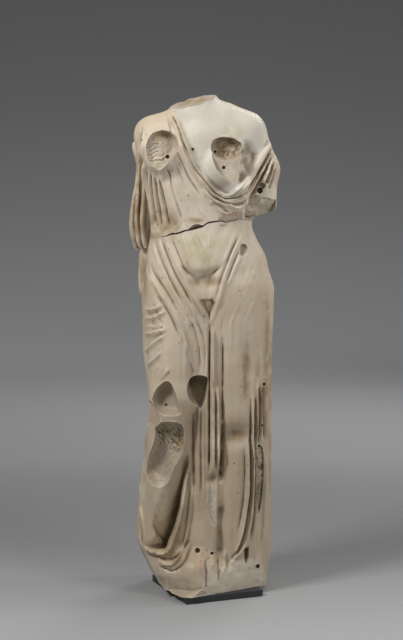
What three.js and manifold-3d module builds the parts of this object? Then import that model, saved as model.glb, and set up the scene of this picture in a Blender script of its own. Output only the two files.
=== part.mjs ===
import * as THREE from 'three';
import { ConvexGeometry } from 'three/addons/geometries/ConvexGeometry.js';
import { mergeVertices } from 'three/addons/utils/BufferGeometryUtils.js';
import Module from 'manifold-3d';

// Sizes in millimetres. Front faces -Y, up is +Z, the origin is under the slab on the figure's axis.
const SLAB_TOP = 19.7;
const MARBLE_BOTTOM = 20;
const FAN_CENTRE_Z = 1200;
const CELLS = 256;
const COLUMNS_FRONT = 196;
const ROWS_BODY = 216;
const START_RADIUS = 330;
const MARCH_STEP = 6;
const SLOPE_STEP = 2;
const CLOTH_STEP = 6;
const SQUARE_SHARE = 0.5;
const SKIN_TOLERANCE = 4.8;
const BACK_SHARE = 0.7;
const BREAK_GAP = 0.5;
const DRILL_SIDES = 9;
const FIGURE_REACH = 420;
const CHIP_DEPTHS = [-160, -76];

// Draped body in level sections: height, left edge, right edge, front depth, back depth.
const SECTIONS = [
  [0, -168, 165, -140, 128], [60, -184, 168, -130, 130], [120, -190, 171, -122, 130],
  [200, -186, 171, -116, 128], [330, -174, 172, -108, 124], [430, -154, 173, -104, 122],
  [500, -144, 174, -102, 120], [580, -156, 175, -102, 120], [680, -168, 177, -102, 122],
  [760, -170, 179, -104, 124], [870, -168, 176, -104, 126], [910, -167, 171, -102, 124],
  [955, -164, 160, -98, 118], [1000, -156, 136, -94, 108], [1040, -154, 122, -90, 98],
  [1090, -160, 134, -92, 96], [1150, -170, 152, -98, 100], [1220, -178, 160, -100, 102],
  [1290, -174, 154, -90, 96], [1340, -150, 140, -70, 80],
];
const SECTION_POWER = 2.5;
const SECTION_TOP = 1318;
const SECTION_TOP_BLEND = 40;

// Rounded limbs and masses: start, start radius, end, end radius, depth factor, blend.
const MASSES = [
  [[-145, 6, 1288], 51, [-143, 4, 1250], 50, 1.0, 18],
  [[-145, 8, 1292], 50, [-40, 12, 1336], 48, 1.0, 22],
  [[-29, 14, 1320], 64, [-31, 18, 1440], 58, 0.9, 16],
  [[20, 14, 1340], 50, [106, 8, 1304], 49, 1.0, 22],
  [[117, 6, 1298], 53, [160, 0, 1195], 47, 1.0, 18],
  [[160, 0, 1195], 47, [149, 0, 1106], 46, 1.0, 18],
  [[-118, -62, 1248], 56, [-112, -66, 1232], 58, 1.0, 20],
  [[66, -64, 1226], 60, [60, -74, 1202], 62, 1.0, 16],
  [[64, -72, 1196], 54, [86, -78, 1160], 38, 1.0, 10],
  [[-6, -36, 945], 66, [-4, -34, 850], 74, 1.0, 40],
  [[-86, -14, 850], 84, [-92, -90, 560], 62, 1.0, 22],
  [[-92, -90, 560], 62, [-106, -84, 420], 58, 1.0, 18],
  [[-106, -84, 420], 58, [-128, -62, 100], 70, 1.0, 22],
  [[90, -2, 850], 88, [86, -34, 520], 66, 1.0, 24],
  [[86, -34, 520], 60, [66, -58, 90], 52, 1.0, 22],
  [[132, -4, 850], 47, [133, -2, 40], 42, 1.0, 22],
  [[8, -66, 720], 26, [10, -82, 430], 34, 1.0, 16],
  [[10, -82, 430], 34, [-4, -98, 60], 50, 1.0, 18],
  [[-112, -66, 100], 62, [-20, -116, 70], 62, 1.0, 22],
  [[-8, -120, 44], 54, [118, -62, 46], 46, 1.0, 20],
  [[-24, -2, 1346], 62, [6, -18, 1296], 66, 1.0, 30],
  [[56, -2, 1326], 50, [108, -2, 1300], 50, 1.0, 30],
];

// Edge of the cloth across the chest; everything above it is bare.
const NECKLINE = [
  [-96, 1372], [-90, 1355], [-64, 1298], [-43, 1243], [-22, 1197], [9, 1159], [48, 1117],
  [65, 1108], [97, 1128], [132, 1180], [163, 1225], [182, 1271],
];

// Leading lines of the great folds, in x and z.
const SWAG_TOP = [[-64, 1299], [-44, 1244], [-22, 1203], [0, 1170], [22, 1143], [44, 1125], [71, 1121],
  [102, 1144], [138, 1188], [167, 1240], [182, 1260]];
const SWAG_SECOND = [[-22, 1189], [-1, 1154], [19, 1130], [41, 1115], [62, 1108], [97, 1111],
  [125, 1137], [157, 1187], [187, 1243]];
const SWAG_THIRD = [[0, 1137], [22, 1110], [50, 1099], [73, 1090], [91, 1088], [111, 1096], [122, 1112]];
const ARM_HOLLOW = [[184, 1228], [166, 1190], [150, 1160], [139, 1137], [127, 1112], [109, 1062]];
const HIP_MAIN = [[-110, 1003], [-97, 974], [-82, 942], [-66, 913], [-50, 881], [-30, 843], [-10, 810],
  [10, 779]];
const HEM_FIRST = [
  [-42, 403], [-49, 360], [-57, 304], [-67, 247], [-78, 202], [-91, 165], [-105, 134],
  [-132, 130], [-154, 135], [-171, 145],
];
const HEM_SECOND = [
  [-34, 307], [-38, 259], [-43, 217], [-50, 177], [-61, 140], [-78, 113], [-98, 99], [-126, 104],
];
const HEM_GROOVE = [
  [-50, 160], [-64, 135], [-84, 118], [-109, 112], [-134, 121],
];
const HEM_LOW_GROOVE = [
  [-42, 144], [-53, 116], [-73, 93], [-95, 82], [-126, 93],
];

// Folds seen from the front: height (minus for a hollow), half width, line.
const FRONT_FOLDS = [
  [16, 9, SWAG_TOP],
  [14, 7, SWAG_SECOND],
  [12, 7, SWAG_THIRD],
  [10, 6, [[11, 1113], [30, 1091], [50, 1077], [69, 1068]]],
  [-11, 6, [[182, 1249], [166, 1216], [143, 1176], [122, 1137], [108, 1118]]],
  [-14, 6, ARM_HOLLOW],
  [12, 5.5, [[189, 1226], [176, 1193], [162, 1160]]],
  [-9, 4.5, [[188, 1210], [181, 1179], [169, 1154]]],
  [10, 5.5, [[195, 1215], [186, 1185], [172, 1140]]],
  [-9, 4.5, [[195, 1199], [188, 1165], [177, 1140]]],
  [-9, 5, [[147, 1117], [137, 1096], [123, 1077], [112, 1060]]],
  [8, 6, [[-125, 1184], [-112, 1137], [-95, 1089], [-76, 1038]]],
  [6, 5, [[-145, 1181], [-143, 1137], [-137, 1087], [-129, 1035]]],
  [6, 5, [[-156, 1192], [-154, 1137], [-149, 1087], [-142, 1034]]],
  [-8, 4.5, [[-125, 1165], [-117, 1132], [-109, 1096], [-96, 1032]]],
  [12, 5, [[-170, 1309], [-168, 1247], [-170, 1138], [-165, 1076], [-155, 1031]]],
  [12, 5, [[-179, 1298], [-181, 1207], [-179, 1138], [-174, 1081], [-167, 1036]]],
  [8, 8, HIP_MAIN],
  [-5, 5, [[-119, 999], [-103, 956], [-90, 922], [-75, 892], [-57, 862], [-39, 826]]],
  [5, 6.5, [[-128, 996], [-114, 963], [-101, 925], [-81, 884], [-57, 843], [-32, 796], [-17, 756]]],
  [4, 6.5, [[-148, 990], [-136, 954], [-122, 921], [-102, 886], [-80, 843], [-53, 790], [-30, 734]]],
  [-5, 5.5, [[-154, 937], [-144, 912], [-125, 884], [-102, 851], [-80, 810]]],
  [7, 8, [[-164, 905], [-141, 879], [-119, 846], [-97, 813], [-75, 774], [-57, 732], [-42, 663]]],
  [7, 5, [[-74, 1009], [-62, 975], [-47, 931]]],
  [-4, 6, [[92, 1010], [72, 966], [59, 929], [44, 892], [36, 857], [17, 784]]],
  [4, 7.5, [[99, 1004], [82, 972], [69, 939], [55, 901], [44, 857], [30, 807]]],
  [7, 6, [[-168, 804], [-136, 810], [-120, 820]]],
  [7, 6, [[-168, 777], [-134, 788], [-111, 802]]],
  [7, 6, [[-174, 733], [-136, 745], [-108, 753]]],
  [8, 6, [[-169, 684], [-140, 716], [-115, 734]]],
  [8, 6, [[-166, 641], [-134, 678], [-124, 689]]],
  [-16, 5, [[13, 762], [13, 689], [12, 603], [12, 445], [11, 359]]],
  [10, 5, [[24, 751], [23, 667], [23, 597]]],
  [11, 5.5, [[22, 582], [22, 360]]],
  [11, 5.5, [[37, 582], [37, 360]]],
  [-4, 15, [[-14, 259], [-14, 196], [-14, 140]]],
  [-8, 24, [[61, 447], [81, 450], [98, 453]]],
  [-12, 7, [[49, 723], [49, 633], [47, 555], [48, 471]]],
  [-20, 9, [[48, 500], [48, 440], [46, 380], [43, 331]]],
  [-20, 8, [[43, 262], [42, 200], [40, 118]]],
  [7, 4, [[-17, 556], [-17, 472], [-17, 360], [-17, 269]]],
  [7, 4, [[-4, 556], [-4, 444], [-4, 345], [-4, 266]]],
  [-10, 7, [[-33, 513], [-33, 443], [-33, 373], [-29, 303]]],
  [13, 5, HEM_FIRST],
  [10, 4.5, HEM_SECOND],
  [-8, 4, HEM_GROOVE],
  [-8, 4, HEM_LOW_GROOVE],
  [10, 5, [[-183, 259], [-175, 223], [-168, 188], [-162, 150]]],
  [9, 5.5, [[118, 441], [121, 356], [121, 285], [111, 216], [97, 156], [80, 111]]],
  [-11, 4.5, [[129, 553], [129, 483], [130, 383], [129, 299], [121, 234], [109, 176], [92, 133],
   [76, 112]]],
  [9, 5, [[136, 558], [135, 448], [137, 374], [135, 306], [130, 234], [118, 167], [101, 129],
   [73, 103]]],
  [-6, 5, [[110, 413], [111, 329], [105, 259], [92, 184]]],
  [-12, 4, [[141, 552], [141, 439], [145, 353], [144, 282], [138, 212], [129, 157]]],
  [9, 4, [[146, 608], [146, 524], [146, 438]]],
  [9, 4, [[155, 593], [156, 522], [156, 445]]],
  [8, 5, [[165, 393], [165, 321], [164, 207], [160, 136]]],
  [9, 6, [[56, 129], [53, 91], [50, 60]]],
  [11, 6, [[19, 113], [21, 83], [22, 50]]],
  [-10, 5, [[3, 120], [3, 80], [3, 34]]],
  [-10, 5, [[36, 115], [38, 84], [39, 51]]],
  [12, 6, [[-10, 116], [-7, 79], [-6, 41]]],
  [12, 7, [[78, 106], [81, 83], [84, 62]]],
  [-9, 5, [[127, 84], [131, 61], [134, 33]]],
  [12, 6, [[145, 109], [147, 75], [148, 45]]],
];

// Hollows carved between folds: depth, softness of the edge, outline in x and z.
const DIPS = [
  [14, 30, [[-80, 939], [-14, 923], [58, 939], [39, 890], [33, 835], [12, 773], [-17, 821],
   [-52, 881]]],
  [12, 14, [[-22, 840], [24, 843], [32, 824], [12, 772]]],
  [30, 7, [[105, 135], [124, 141], [124, 113], [115, 86], [107, 104]]],
  [16, 32, [[104, 1284], [136, 1276], [162, 1240], [138, 1190], [108, 1140], [92, 1146], [96, 1205]]],
];

// Long hollows against one sharp crest: depth, width, line of the crest.
const SCOOPS = [[56, 82, HEM_FIRST]];

// Upright folds round the sides and the back: angle from the front, bottom, top, height, half width.
const SIDE_FOLDS = [
  [76, 40, 1010, 8, 4.5], [92, 40, 1180, 10, 5], [108, 30, 1000, 12, 6], [126, 40, 1210, 13, 7],
  [146, 30, 1050, 14, 7], [166, 40, 1240, 14, 7], [-172, 30, 1100, 14, 7], [-150, 40, 1220, 14, 7],
  [-130, 30, 1000, 13, 7], [-110, 40, 900, 11, 6], [-94, 150, 960, 9, 5], [-78, 150, 760, 7, 4.5],
];

// The flap that hangs behind the right arm, and the folds on it: x, y, z, half width, half depth.
const FLAP_FOLDS = [
  [[-180, 45, 1284, 10, 5], [-178, 45, 1262, 30, 12], [-164, 45, 1196, 30, 13], [-172, 46, 1110, 34, 12],
    [-180, 47, 1050, 31, 12], [-181, 48, 985, 26, 11], [-182, 48, 966, 16, 7]],
  [[-170, 46, 1010, 16, 8], [-170, 46, 900, 21, 10], [-170, 46, 850, 18, 9], [-172, 46, 834, 10, 5]],
  [[-190, 34, 1210, 4, 5], [-194, 34, 1152, 6, 9], [-206, 34, 1075, 8, 12], [-204, 36, 1010, 9, 12],
    [-196, 38, 980, 6, 8]],
  [[-184, 18, 1236, 4, 5], [-189, 18, 1140, 6, 9], [-193, 20, 1066, 7, 11], [-189, 22, 1004, 8, 11],
    [-184, 24, 976, 6, 7]],
  [[-170, 2, 1180, 4, 5], [-174, 2, 1110, 6, 8], [-177, 6, 1048, 7, 10], [-173, 10, 998, 7, 10],
    [-168, 12, 974, 5, 7]],
];
const FLAP_SIDES = 8;

// Broken-away hollows, each opened from the front: rim in x and z, mouth depth, floor depth,
// floor scale, and the floor's tilt across and up.
const RIM_SHARE = 0.45;
const HOLLOWS = [
  [[[-161, 1290], [-149, 1303], [-131, 1307], [-111, 1306], [-93, 1298], [-80, 1284], [-73, 1262],
    [-76, 1243], [-88, 1226], [-108, 1204], [-127, 1184], [-147, 1195], [-160, 1208], [-167, 1230],
    [-168, 1258]], -150, -76, 0.6, 0.3, 0.26],
  [[[12, 1258], [17, 1273], [30, 1282], [47, 1286], [76, 1284], [96, 1275], [116, 1262], [112, 1232],
    [110, 1200], [104, 1168], [99, 1140], [72, 1150], [48, 1170], [28, 1196], [15, 1230]],
    -180, -102, 0.85, -0.06, 0.08],
  [[[12, 1258], [17, 1273], [30, 1282], [47, 1286], [76, 1284], [96, 1275], [110, 1262], [106, 1240],
    [90, 1222], [60, 1214], [32, 1224], [15, 1242]], -170, -62, 0.62, 0, 0.1],
  [[[-150, 560], [-146, 572], [-136, 592], [-120, 607], [-107, 614], [-95, 609], [-84, 589], [-72, 555],
    [-62, 520], [-88, 516], [-118, 520], [-138, 538]], -190, -108, 0.5, -0.25, 0.12],
  [[[-190, 566], [-150, 556], [-128, 524], [-122, 500], [-134, 482], [-152, 480], [-190, 486]],
    -190, -88, 0.7, -1.4, 0],
  [[[-140, 486], [-118, 500], [-89, 501], [-63, 499], [-51, 484], [-46, 464], [-46, 440], [-54, 414],
    [-70, 388], [-83, 368], [-90, 348], [-98, 324], [-116, 311], [-138, 313], [-158, 323], [-171, 344],
    [-171, 366], [-163, 392], [-152, 420], [-144, 440], [-139, 464]], -200, -102, 0.6, -0.3, 0.05],
  [[[-50, 600], [-43, 616], [-30, 624], [-7, 624], [7, 616], [7, 588], [2, 555], [-6, 533], [-14, 528],
    [-28, 542], [-43, 560], [-50, 580]], -170, -50, 0.6, -0.2, 0.6],
  [[[10, 322], [32, 322], [33, 263], [33, 203], [22, 209], [11, 229], [5, 263]],
    -170, -119, 0.9, 0.2, 0],
  [[[95, 980], [100, 990], [114, 990], [122, 980], [122, 962], [108, 948], [94, 956]],
    -130, -66, 0.5, 0, 0.5],
  [[[122, 1121], [145, 1126], [159, 1115], [159, 1090], [139, 1082], [122, 1096]], -150, -36, 0.8, -0.5, -0.3],
  [[[159, 1121], [181, 1115], [192, 1093], [175, 1076], [159, 1087]], -150, -26, 0.8, 0.5, -0.3],
  [[[145, 1154], [158, 1160], [172, 1154], [167, 1140], [150, 1137]], -150, -30, 0.5, 0, 0.2],
  [[[142, 420], [152, 428], [164, 418], [167, 370], [165, 300], [158, 238], [149, 224], [146, 300]],
    -120, -42, 0.8, 0.4, 0],
];

// Drilled holes: x, z, diameter, mouth depth, floor depth.
const DRILLED = [
  [-64, 1316, 9, -140, -62], [-34, 1249, 8, -140, -80], [-104, 1229, 12, -140, -62],
  [51, 1199, 10, -170, -84], [153, 1136, 15, -140, -22], [-108, 543, 10, -190, -108],
  [-92, 440, 16, -190, -100], [166, 594, 9, -120, -40], [161, 477, 9, -120, -40],
  [152, 419, 9, -120, -35], [149, 78, 13, -190, -60], [-21, 138, 15, -220, -125],
  [19, 130, 10, -220, -125],
];

// Line of the old break at the waist, in x and z.
const WAIST_BREAK = [
  [-420, 968], [-168, 968], [-161, 1000], [-107, 1011], [-64, 1023], [-8, 1036], [8, 1048],
  [47, 1052], [56, 1047], [66, 1048], [96, 1056], [116, 1052], [150, 1040], [420, 1034],
];
const WAIST_CHIPS = [
  [[-44, 1028], [-36, 1033], [-20, 1040], [-8, 1042], [-8, 1030]],
  [[44, 1046], [58, 1056], [74, 1054], [78, 1046]],
];

// Rough block under the figure, part of the same marble.
const PLINTH_OUTLINE = [
  [-64, -193], [-36, -200], [171, -63], [178, 0], [168, 112], [60, 138], [-104, 132], [-128, 60],
  [-118, -60], [-92, -150],
];
const PLINTH_SHOULDER = [
  [4, -176], [171, -66], [178, 0], [168, 112], [60, 138], [-104, 132], [-112, 60], [-90, -50],
];
const PLINTH_TOP = 46;

// Break faces: outward direction, distance from the origin, a point near the break, the face's
// half height and half width, and how much is taken away beyond it.
const BREAKS = [
  { out: [-0.232, -0.236, 0.944], distance: 1312, centre: [-29, 14, 1390], half: [110, 110], thick: 120 },
  { out: [-0.88, -0.18, -0.44], distance: 112, centre: [-150, -60, 60], half: [150, 190], thick: 260 },
  { out: [0.552, -0.834, 0], distance: 147, centre: [70, -130, 54], half: [50, 150], thick: 80 },
  { out: [0.36, -0.52, -0.77], distance: -779, centre: [165, -40, 1085], half: [60, 46], thick: 90 },
];

const SLAB_CORNERS = [[-51, -196], [162, -108], [60, 143], [-153, 57]];
const SLAB_CHAMFER = 1.5;

const lerp = (a, b, t) => a + (b - a) * t;
const clamp = (v, lo, hi) => Math.min(hi, Math.max(lo, v));
const smoothstep = (a, b, v) => {
  const t = clamp((v - a) / (b - a), 0, 1);
  return t * t * (3 - 2 * t);
};

function blendMin(a, b, k) {
  const h = Math.max(k - Math.abs(a - b), 0) / k;
  return Math.min(a, b) - h * h * k / 4;
}

function blendMax(a, b, k) {
  return -blendMin(-a, -b, k);
}

// A smooth curve through the rows of a table, read at one height.
function sectionAt(z) {
  let i = 0;
  while (i < SECTIONS.length - 2 && z > SECTIONS[i + 1][0]) i += 1;
  const a = SECTIONS[Math.max(i - 1, 0)];
  const b = SECTIONS[i];
  const c = SECTIONS[i + 1];
  const d = SECTIONS[Math.min(i + 2, SECTIONS.length - 1)];
  const span = c[0] - b[0];
  const t = clamp((z - b[0]) / span, 0, 1);
  const out = [];
  for (let k = 1; k < 5; k += 1) {
    const m0 = (c[k] - a[k]) / (c[0] - a[0]) * span;
    const m1 = (d[k] - b[k]) / (d[0] - b[0]) * span;
    const t2 = t * t;
    const t3 = t2 * t;
    out.push((2 * t3 - 3 * t2 + 1) * b[k] + (t3 - 2 * t2 + t) * m0
      + (3 * t2 - 2 * t3) * c[k] + (t3 - t2) * m1);
  }
  return out;
}

function sectionDistance(x, y, z) {
  const [left, right, front, back] = sectionAt(z);
  const middle = (left + right) / 4;
  const halfWidth = x < middle ? middle - left : right - middle;
  const halfDepth = y < 0 ? -front : back;
  const q = (Math.abs((x - middle) / halfWidth) ** SECTION_POWER
    + Math.abs(y / halfDepth) ** SECTION_POWER) ** (1 / SECTION_POWER) + 1e-9;
  return blendMax(Math.hypot(x - middle, y) * (1 - 1 / q), z - SECTION_TOP, SECTION_TOP_BLEND);
}

function massDistance(x, y, z, mass) {
  const [from, r0, to, r1, depth] = mass;
  const ax = to[0] - from[0];
  const ay = to[1] - from[1];
  const az = to[2] - from[2];
  const px = x - from[0];
  const py = y - from[1];
  const pz = z - from[2];
  const t = clamp((px * ax + py * ay + pz * az) / (ax * ax + ay * ay + az * az), 0, 1);
  return Math.hypot(px - ax * t, (py - ay * t) / depth, pz - az * t) - lerp(r0, r1, t);
}

function bodyDistance(x, y, z) {
  let d = sectionDistance(x, y, z);
  for (const mass of MASSES) d = blendMin(d, massDistance(x, y, z, mass), mass[5]);
  return d;
}

// Distance out to the skin along a ray from the axis.
function skinRadius(dir, centreZ) {
  const inside = (r) => bodyDistance(dir[0] * r, dir[1] * r, centreZ + dir[2] * r) < 0;
  let hi = START_RADIUS;
  while (hi > MARCH_STEP && !inside(hi - MARCH_STEP)) hi -= MARCH_STEP;
  let lo = hi - MARCH_STEP;
  for (let i = 0; i < 9; i += 1) {
    const mid = (lo + hi) / 2;
    if (inside(mid)) lo = mid;
    else hi = mid;
  }
  return (lo + hi) / 2;
}

// Nearest distance to a line, how far along it the nearest point lies, 0 to 1, and on which side.
function toLine(px, pz, line) {
  let best = Infinity;
  let along = 0;
  let side = 0;
  for (let i = 0; i < line.length - 1; i += 1) {
    const ux = line[i + 1][0] - line[i][0];
    const uz = line[i + 1][1] - line[i][1];
    const vx = px - line[i][0];
    const vz = pz - line[i][1];
    const t = clamp((vx * ux + vz * uz) / (ux * ux + uz * uz), 0, 1);
    const d = Math.hypot(vx - ux * t, vz - uz * t);
    if (d < best) {
      best = d;
      along = (i + t) / (line.length - 1);
      side = Math.sign(ux * vz - uz * vx);
    }
  }
  return [best, along, side];
}

function insideOutline(px, pz, outline) {
  let inside = false;
  for (let i = 0; i < outline.length; i += 1) {
    const [x0, z0] = outline[i];
    const [x1, z1] = outline[(i + 1) % outline.length];
    if ((z0 > pz) !== (z1 > pz) && px < (x1 - x0) * (pz - z0) / (z1 - z0) + x0) inside = !inside;
  }
  return inside;
}

// Height of one fold at a point, fading toward the ends of its line.
function fold(px, pz, height, half, line) {
  const [d, along] = toLine(px, pz, line);
  const ends = smoothstep(0, 0.12, along) * smoothstep(0, 0.12, 1 - along);
  return height * Math.exp(-((d / half) ** 2) * 1.6) * lerp(0.35, 1, ends);
}

// Relief of the folds seen from the front, in millimetres, laid square to the skin.
function foldRelief(x, z, front) {
  let up = 0;
  let down = 0;
  if (front > 0) {
    for (const [height, half, line] of FRONT_FOLDS) {
      const v = fold(x, z, height, half, line) * front;
      up = Math.max(up, v);
      down = Math.min(down, v);
    }
  }
  return up + down;
}

// How far the deep hollows between folds sink straight back.
function sunkRelief(x, z, front) {
  let sunk = 0;
  for (const [depth, edge, outline] of DIPS) {
    if (insideOutline(x, z, outline)) {
      const [d] = toLine(x, z, [...outline, outline[0]]);
      sunk = Math.max(sunk, depth * smoothstep(0, edge, d) * front);
    }
  }
  return sunk;
}

// How far the skin sinks beside a sharp crest.
function scoopRelief(x, z, front) {
  let sunk = 0;
  for (const [depth, width, line] of SCOOPS) {
    const [d, along, side] = toLine(x, z, line);
    if (side < 0 && d < width) {
      const grown = smoothstep(0, 0.4, along) * (1 - smoothstep(0.6, 1, along));
      const across = smoothstep(2, 10, d) * (1 - smoothstep(0.1 * width, width, d));
      sunk = Math.max(sunk, depth * grown * across * front);
    }
  }
  return sunk;
}

// Relief laid along the ray: upright folds and the step down to bare skin.
function rayRelief(x, z, angle, facing) {
  let up = 0;
  const degrees = THREE.MathUtils.radToDeg(angle);
  for (const [at, bottom, top, height, half] of SIDE_FOLDS) {
    let away = Math.abs(degrees - at - 3 * Math.sin(z / 170 + at));
    away = Math.min(away, 360 - away);
    const ends = smoothstep(bottom - 30, bottom + 60, z) * (1 - smoothstep(top - 120, top, z));
    up = Math.max(up, height * ends * Math.exp(-((away / half) ** 2)));
  }
  const [d, , side] = toLine(x, z, NECKLINE);
  const bare = z > 1100 && x > -100 && side > 0 ? smoothstep(0, 7, d) : 0;
  return up - CLOTH_STEP * bare * smoothstep(-0.1, 0.3, facing);
}

function columnAngle(i) {
  const frontHalf = Math.PI * 0.55;
  if (i < COLUMNS_FRONT) return -frontHalf + 2 * frontHalf * i / COLUMNS_FRONT;
  return frontHalf + (2 * Math.PI - 2 * frontHalf) * (i - COLUMNS_FRONT) / (CELLS - COLUMNS_FRONT);
}

function rowRay(j) {
  if (j <= ROWS_BODY) return [lerp(MARBLE_BOTTOM, FAN_CENTRE_Z, j / ROWS_BODY), 0];
  return [FAN_CENTRE_Z, Math.PI / 2 * (j - ROWS_BODY) / (CELLS - ROWS_BODY + 1)];
}

// One point of the carved skin, before breaks and holes.
function skinPoint(i, j) {
  const angle = columnAngle(i);
  const [centreZ, rise] = rowRay(j);
  const dir = new THREE.Vector3(Math.sin(angle) * Math.cos(rise), -Math.cos(angle) * Math.cos(rise), Math.sin(rise));
  const r = skinRadius(dir.toArray(), centreZ);
  const p = dir.clone().multiplyScalar(r);
  p.z += centreZ;
  const e = SLOPE_STEP;
  const slope = new THREE.Vector3(
    bodyDistance(p.x + e, p.y, p.z) - bodyDistance(p.x - e, p.y, p.z),
    bodyDistance(p.x, p.y + e, p.z) - bodyDistance(p.x, p.y - e, p.z),
    bodyDistance(p.x, p.y, p.z + e) - bodyDistance(p.x, p.y, p.z - e),
  ).normalize();
  const facing = -slope.y;
  const front = smoothstep(0.05, 0.35, facing) * smoothstep(0, 0.3, slope.dot(dir));
  const lean = slope.clone().multiplyScalar(SQUARE_SHARE);
  lean.y -= 1 - SQUARE_SHARE;
  lean.normalize();
  const { x, z } = p;
  p.addScaledVector(dir, rayRelief(x, z, angle, facing));
  p.addScaledVector(lean, foldRelief(x, z, front));
  p.y += Math.max(sunkRelief(x, z, front), scoopRelief(x, z, front));
  return p;
}

// The whole figure as one closed skin. A net of CELLS by CELLS squares goes once round it and from
// foot to crown. Each half square is split in two at the middle of its long side for as long as the
// skin strays from that side by more than the tolerance, so plain cloth gets few, large triangles.
// At the back, where the carving is plainer, a stray counts for less.
function figureSkin() {
  const at = (i, j) => j * CELLS + i % CELLS;
  const skin = [];
  for (let j = 0; j <= CELLS; j += 1) {
    for (let i = 0; i < CELLS; i += 1) skin.push(skinPoint(i, j));
  }
  const stray = new Float32Array(skin.length);
  const side = new THREE.Line3();
  const nearest = new THREE.Vector3();
  const corners = (id) => {
    let [ax, ay, bx, by, cx, cy] = id & 1 ? [0, 0, CELLS, CELLS, CELLS, 0] : [CELLS, CELLS, 0, 0, 0, CELLS];
    for (let rest = id >> 1; rest > 1; rest >>= 1) {
      const mx = (ax + bx) >> 1;
      const my = (ay + by) >> 1;
      if (rest & 1) [bx, by, ax, ay] = [ax, ay, cx, cy];
      else [ax, ay, bx, by] = [bx, by, cx, cy];
      [cx, cy] = [mx, my];
    }
    return [ax, ay, bx, by, cx, cy];
  };
  const halves = CELLS * CELLS * 2;
  const parents = halves - CELLS * CELLS;
  for (let id = halves - 1; id >= 2; id -= 1) {
    const [ax, ay, bx, by, cx, cy] = corners(id);
    const middle = at((ax + bx) >> 1, (ay + by) >> 1);
    side.set(skin[at(ax, ay)], skin[at(bx, by)]);
    side.closestPointToPoint(skin[middle], false, nearest);
    const share = skin[middle].y > 0 ? BACK_SHARE : 1;
    let most = Math.max(stray[middle], share * nearest.distanceTo(skin[middle]));
    if (id < parents) {
      const left = at((ax + cx) >> 1, (ay + cy) >> 1);
      const right = at((bx + cx) >> 1, (by + cy) >> 1);
      most = Math.max(most, stray[left], stray[right]);
    }
    stray[middle] = most;
  }
  const faces = [];
  const foot = new Set();
  const crown = new Set();
  const split = (ax, ay, bx, by, cx, cy) => {
    const mx = (ax + bx) >> 1;
    const my = (ay + by) >> 1;
    if (Math.abs(ax - cx) + Math.abs(ay - cy) > 1 && stray[at(mx, my)] > SKIN_TOLERANCE) {
      split(cx, cy, ax, ay, mx, my);
      split(bx, by, cx, cy, mx, my);
      return;
    }
    faces.push(at(ax, ay), at(cx, cy), at(bx, by));
    for (const [x, y] of [[ax, ay], [bx, by], [cx, cy]]) {
      if (y === 0) foot.add(x % CELLS);
      if (y === CELLS) crown.add(x % CELLS);
    }
  };
  split(0, 0, CELLS, CELLS, CELLS, 0);
  split(CELLS, CELLS, 0, 0, 0, CELLS);
  const close = (ring, row, hub, up) => {
    const columns = [...ring].sort((a, b) => a - b);
    columns.forEach((i, k) => {
      const pair = [at(i, row), at(columns[(k + 1) % columns.length], row)];
      if (!up) pair.reverse();
      faces.push(...pair, hub);
    });
  };
  skin.push(new THREE.Vector3(0, 0, MARBLE_BOTTOM), new THREE.Vector3(0, 0, skin[at(0, CELLS)].z));
  close(foot, 0, skin.length - 2, false);
  close(crown, CELLS, skin.length - 1, true);
  const used = [...new Set(faces)];
  const order = new Map(used.map((index, k) => [index, k]));
  const geometry = new THREE.BufferGeometry().setFromPoints(used.map((index) => skin[index]));
  geometry.setIndex(faces.map((index) => order.get(index)));
  return geometry;
}

const wasm = await Module();
wasm.setup();
const { Manifold } = wasm;

// A closed geometry as a solid for joining and cutting.
function solid(source) {
  source.deleteAttribute('normal');
  source.deleteAttribute('uv');
  const geometry = mergeVertices(source);
  const mesh = new wasm.Mesh({
    numProp: 3,
    vertProperties: new Float32Array(geometry.attributes.position.array),
    triVerts: new Uint32Array(geometry.index.array),
  });
  return new Manifold(mesh);
}

// An upright fold of cloth as level rings joined to one another.
function foldTube(stations) {
  const points = [];
  const faces = [];
  stations.forEach(([x, y, z, across, deep], row) => {
    for (let i = 0; i < FLAP_SIDES; i += 1) {
      const turn = 2 * Math.PI * i / FLAP_SIDES;
      points.push(new THREE.Vector3(x + across * Math.cos(turn), y + deep * Math.sin(turn), z));
      if (row > 0) {
        const below = row * FLAP_SIDES + i;
        const beside = row * FLAP_SIDES + (i + 1) % FLAP_SIDES;
        faces.push(below, beside, beside - FLAP_SIDES, below, beside - FLAP_SIDES, below - FLAP_SIDES);
      }
    }
  });
  const last = (stations.length - 1) * FLAP_SIDES;
  for (const [row, side] of [[0, 1], [last, -1]]) {
    for (let i = 1; i < FLAP_SIDES - 1; i += 1) {
      const pair = side > 0 ? [row + i, row + i + 1] : [row + i + 1, row + i];
      faces.push(row, ...pair);
    }
  }
  const geometry = new THREE.BufferGeometry().setFromPoints(points);
  geometry.setIndex(faces);
  return solid(geometry);
}

// A broken hollow: its floor, its wall and its mouth as one rounded hull.
function hollow([rim, mouth, floor, floorScale, across, rise]) {
  const cx = rim.reduce((sum, p) => sum + p[0], 0) / rim.length;
  const cz = rim.reduce((sum, p) => sum + p[1], 0) / rim.length;
  const points = [];
  const middle = (floorScale + 1) / 2;
  for (const [x, z] of rim) {
    for (const [scale, share] of [[floorScale, 0], [middle, RIM_SHARE * 0.22], [1, RIM_SHARE], [1, 1]]) {
      const px = lerp(cx, x, scale);
      const pz = lerp(cz, z, scale);
      const y = floor + across * (px - cx) + rise * (pz - cz);
      points.push(new THREE.Vector3(px, lerp(y, mouth, share), pz));
    }
  }
  return solid(new ConvexGeometry(points));
}

function drill([x, z, diameter, mouth, floor]) {
  const bit = new THREE.CylinderGeometry(diameter / 2, diameter / 2, floor - mouth, DRILL_SIDES);
  return solid(bit.translate(x, (mouth + floor) / 2, z));
}

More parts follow.
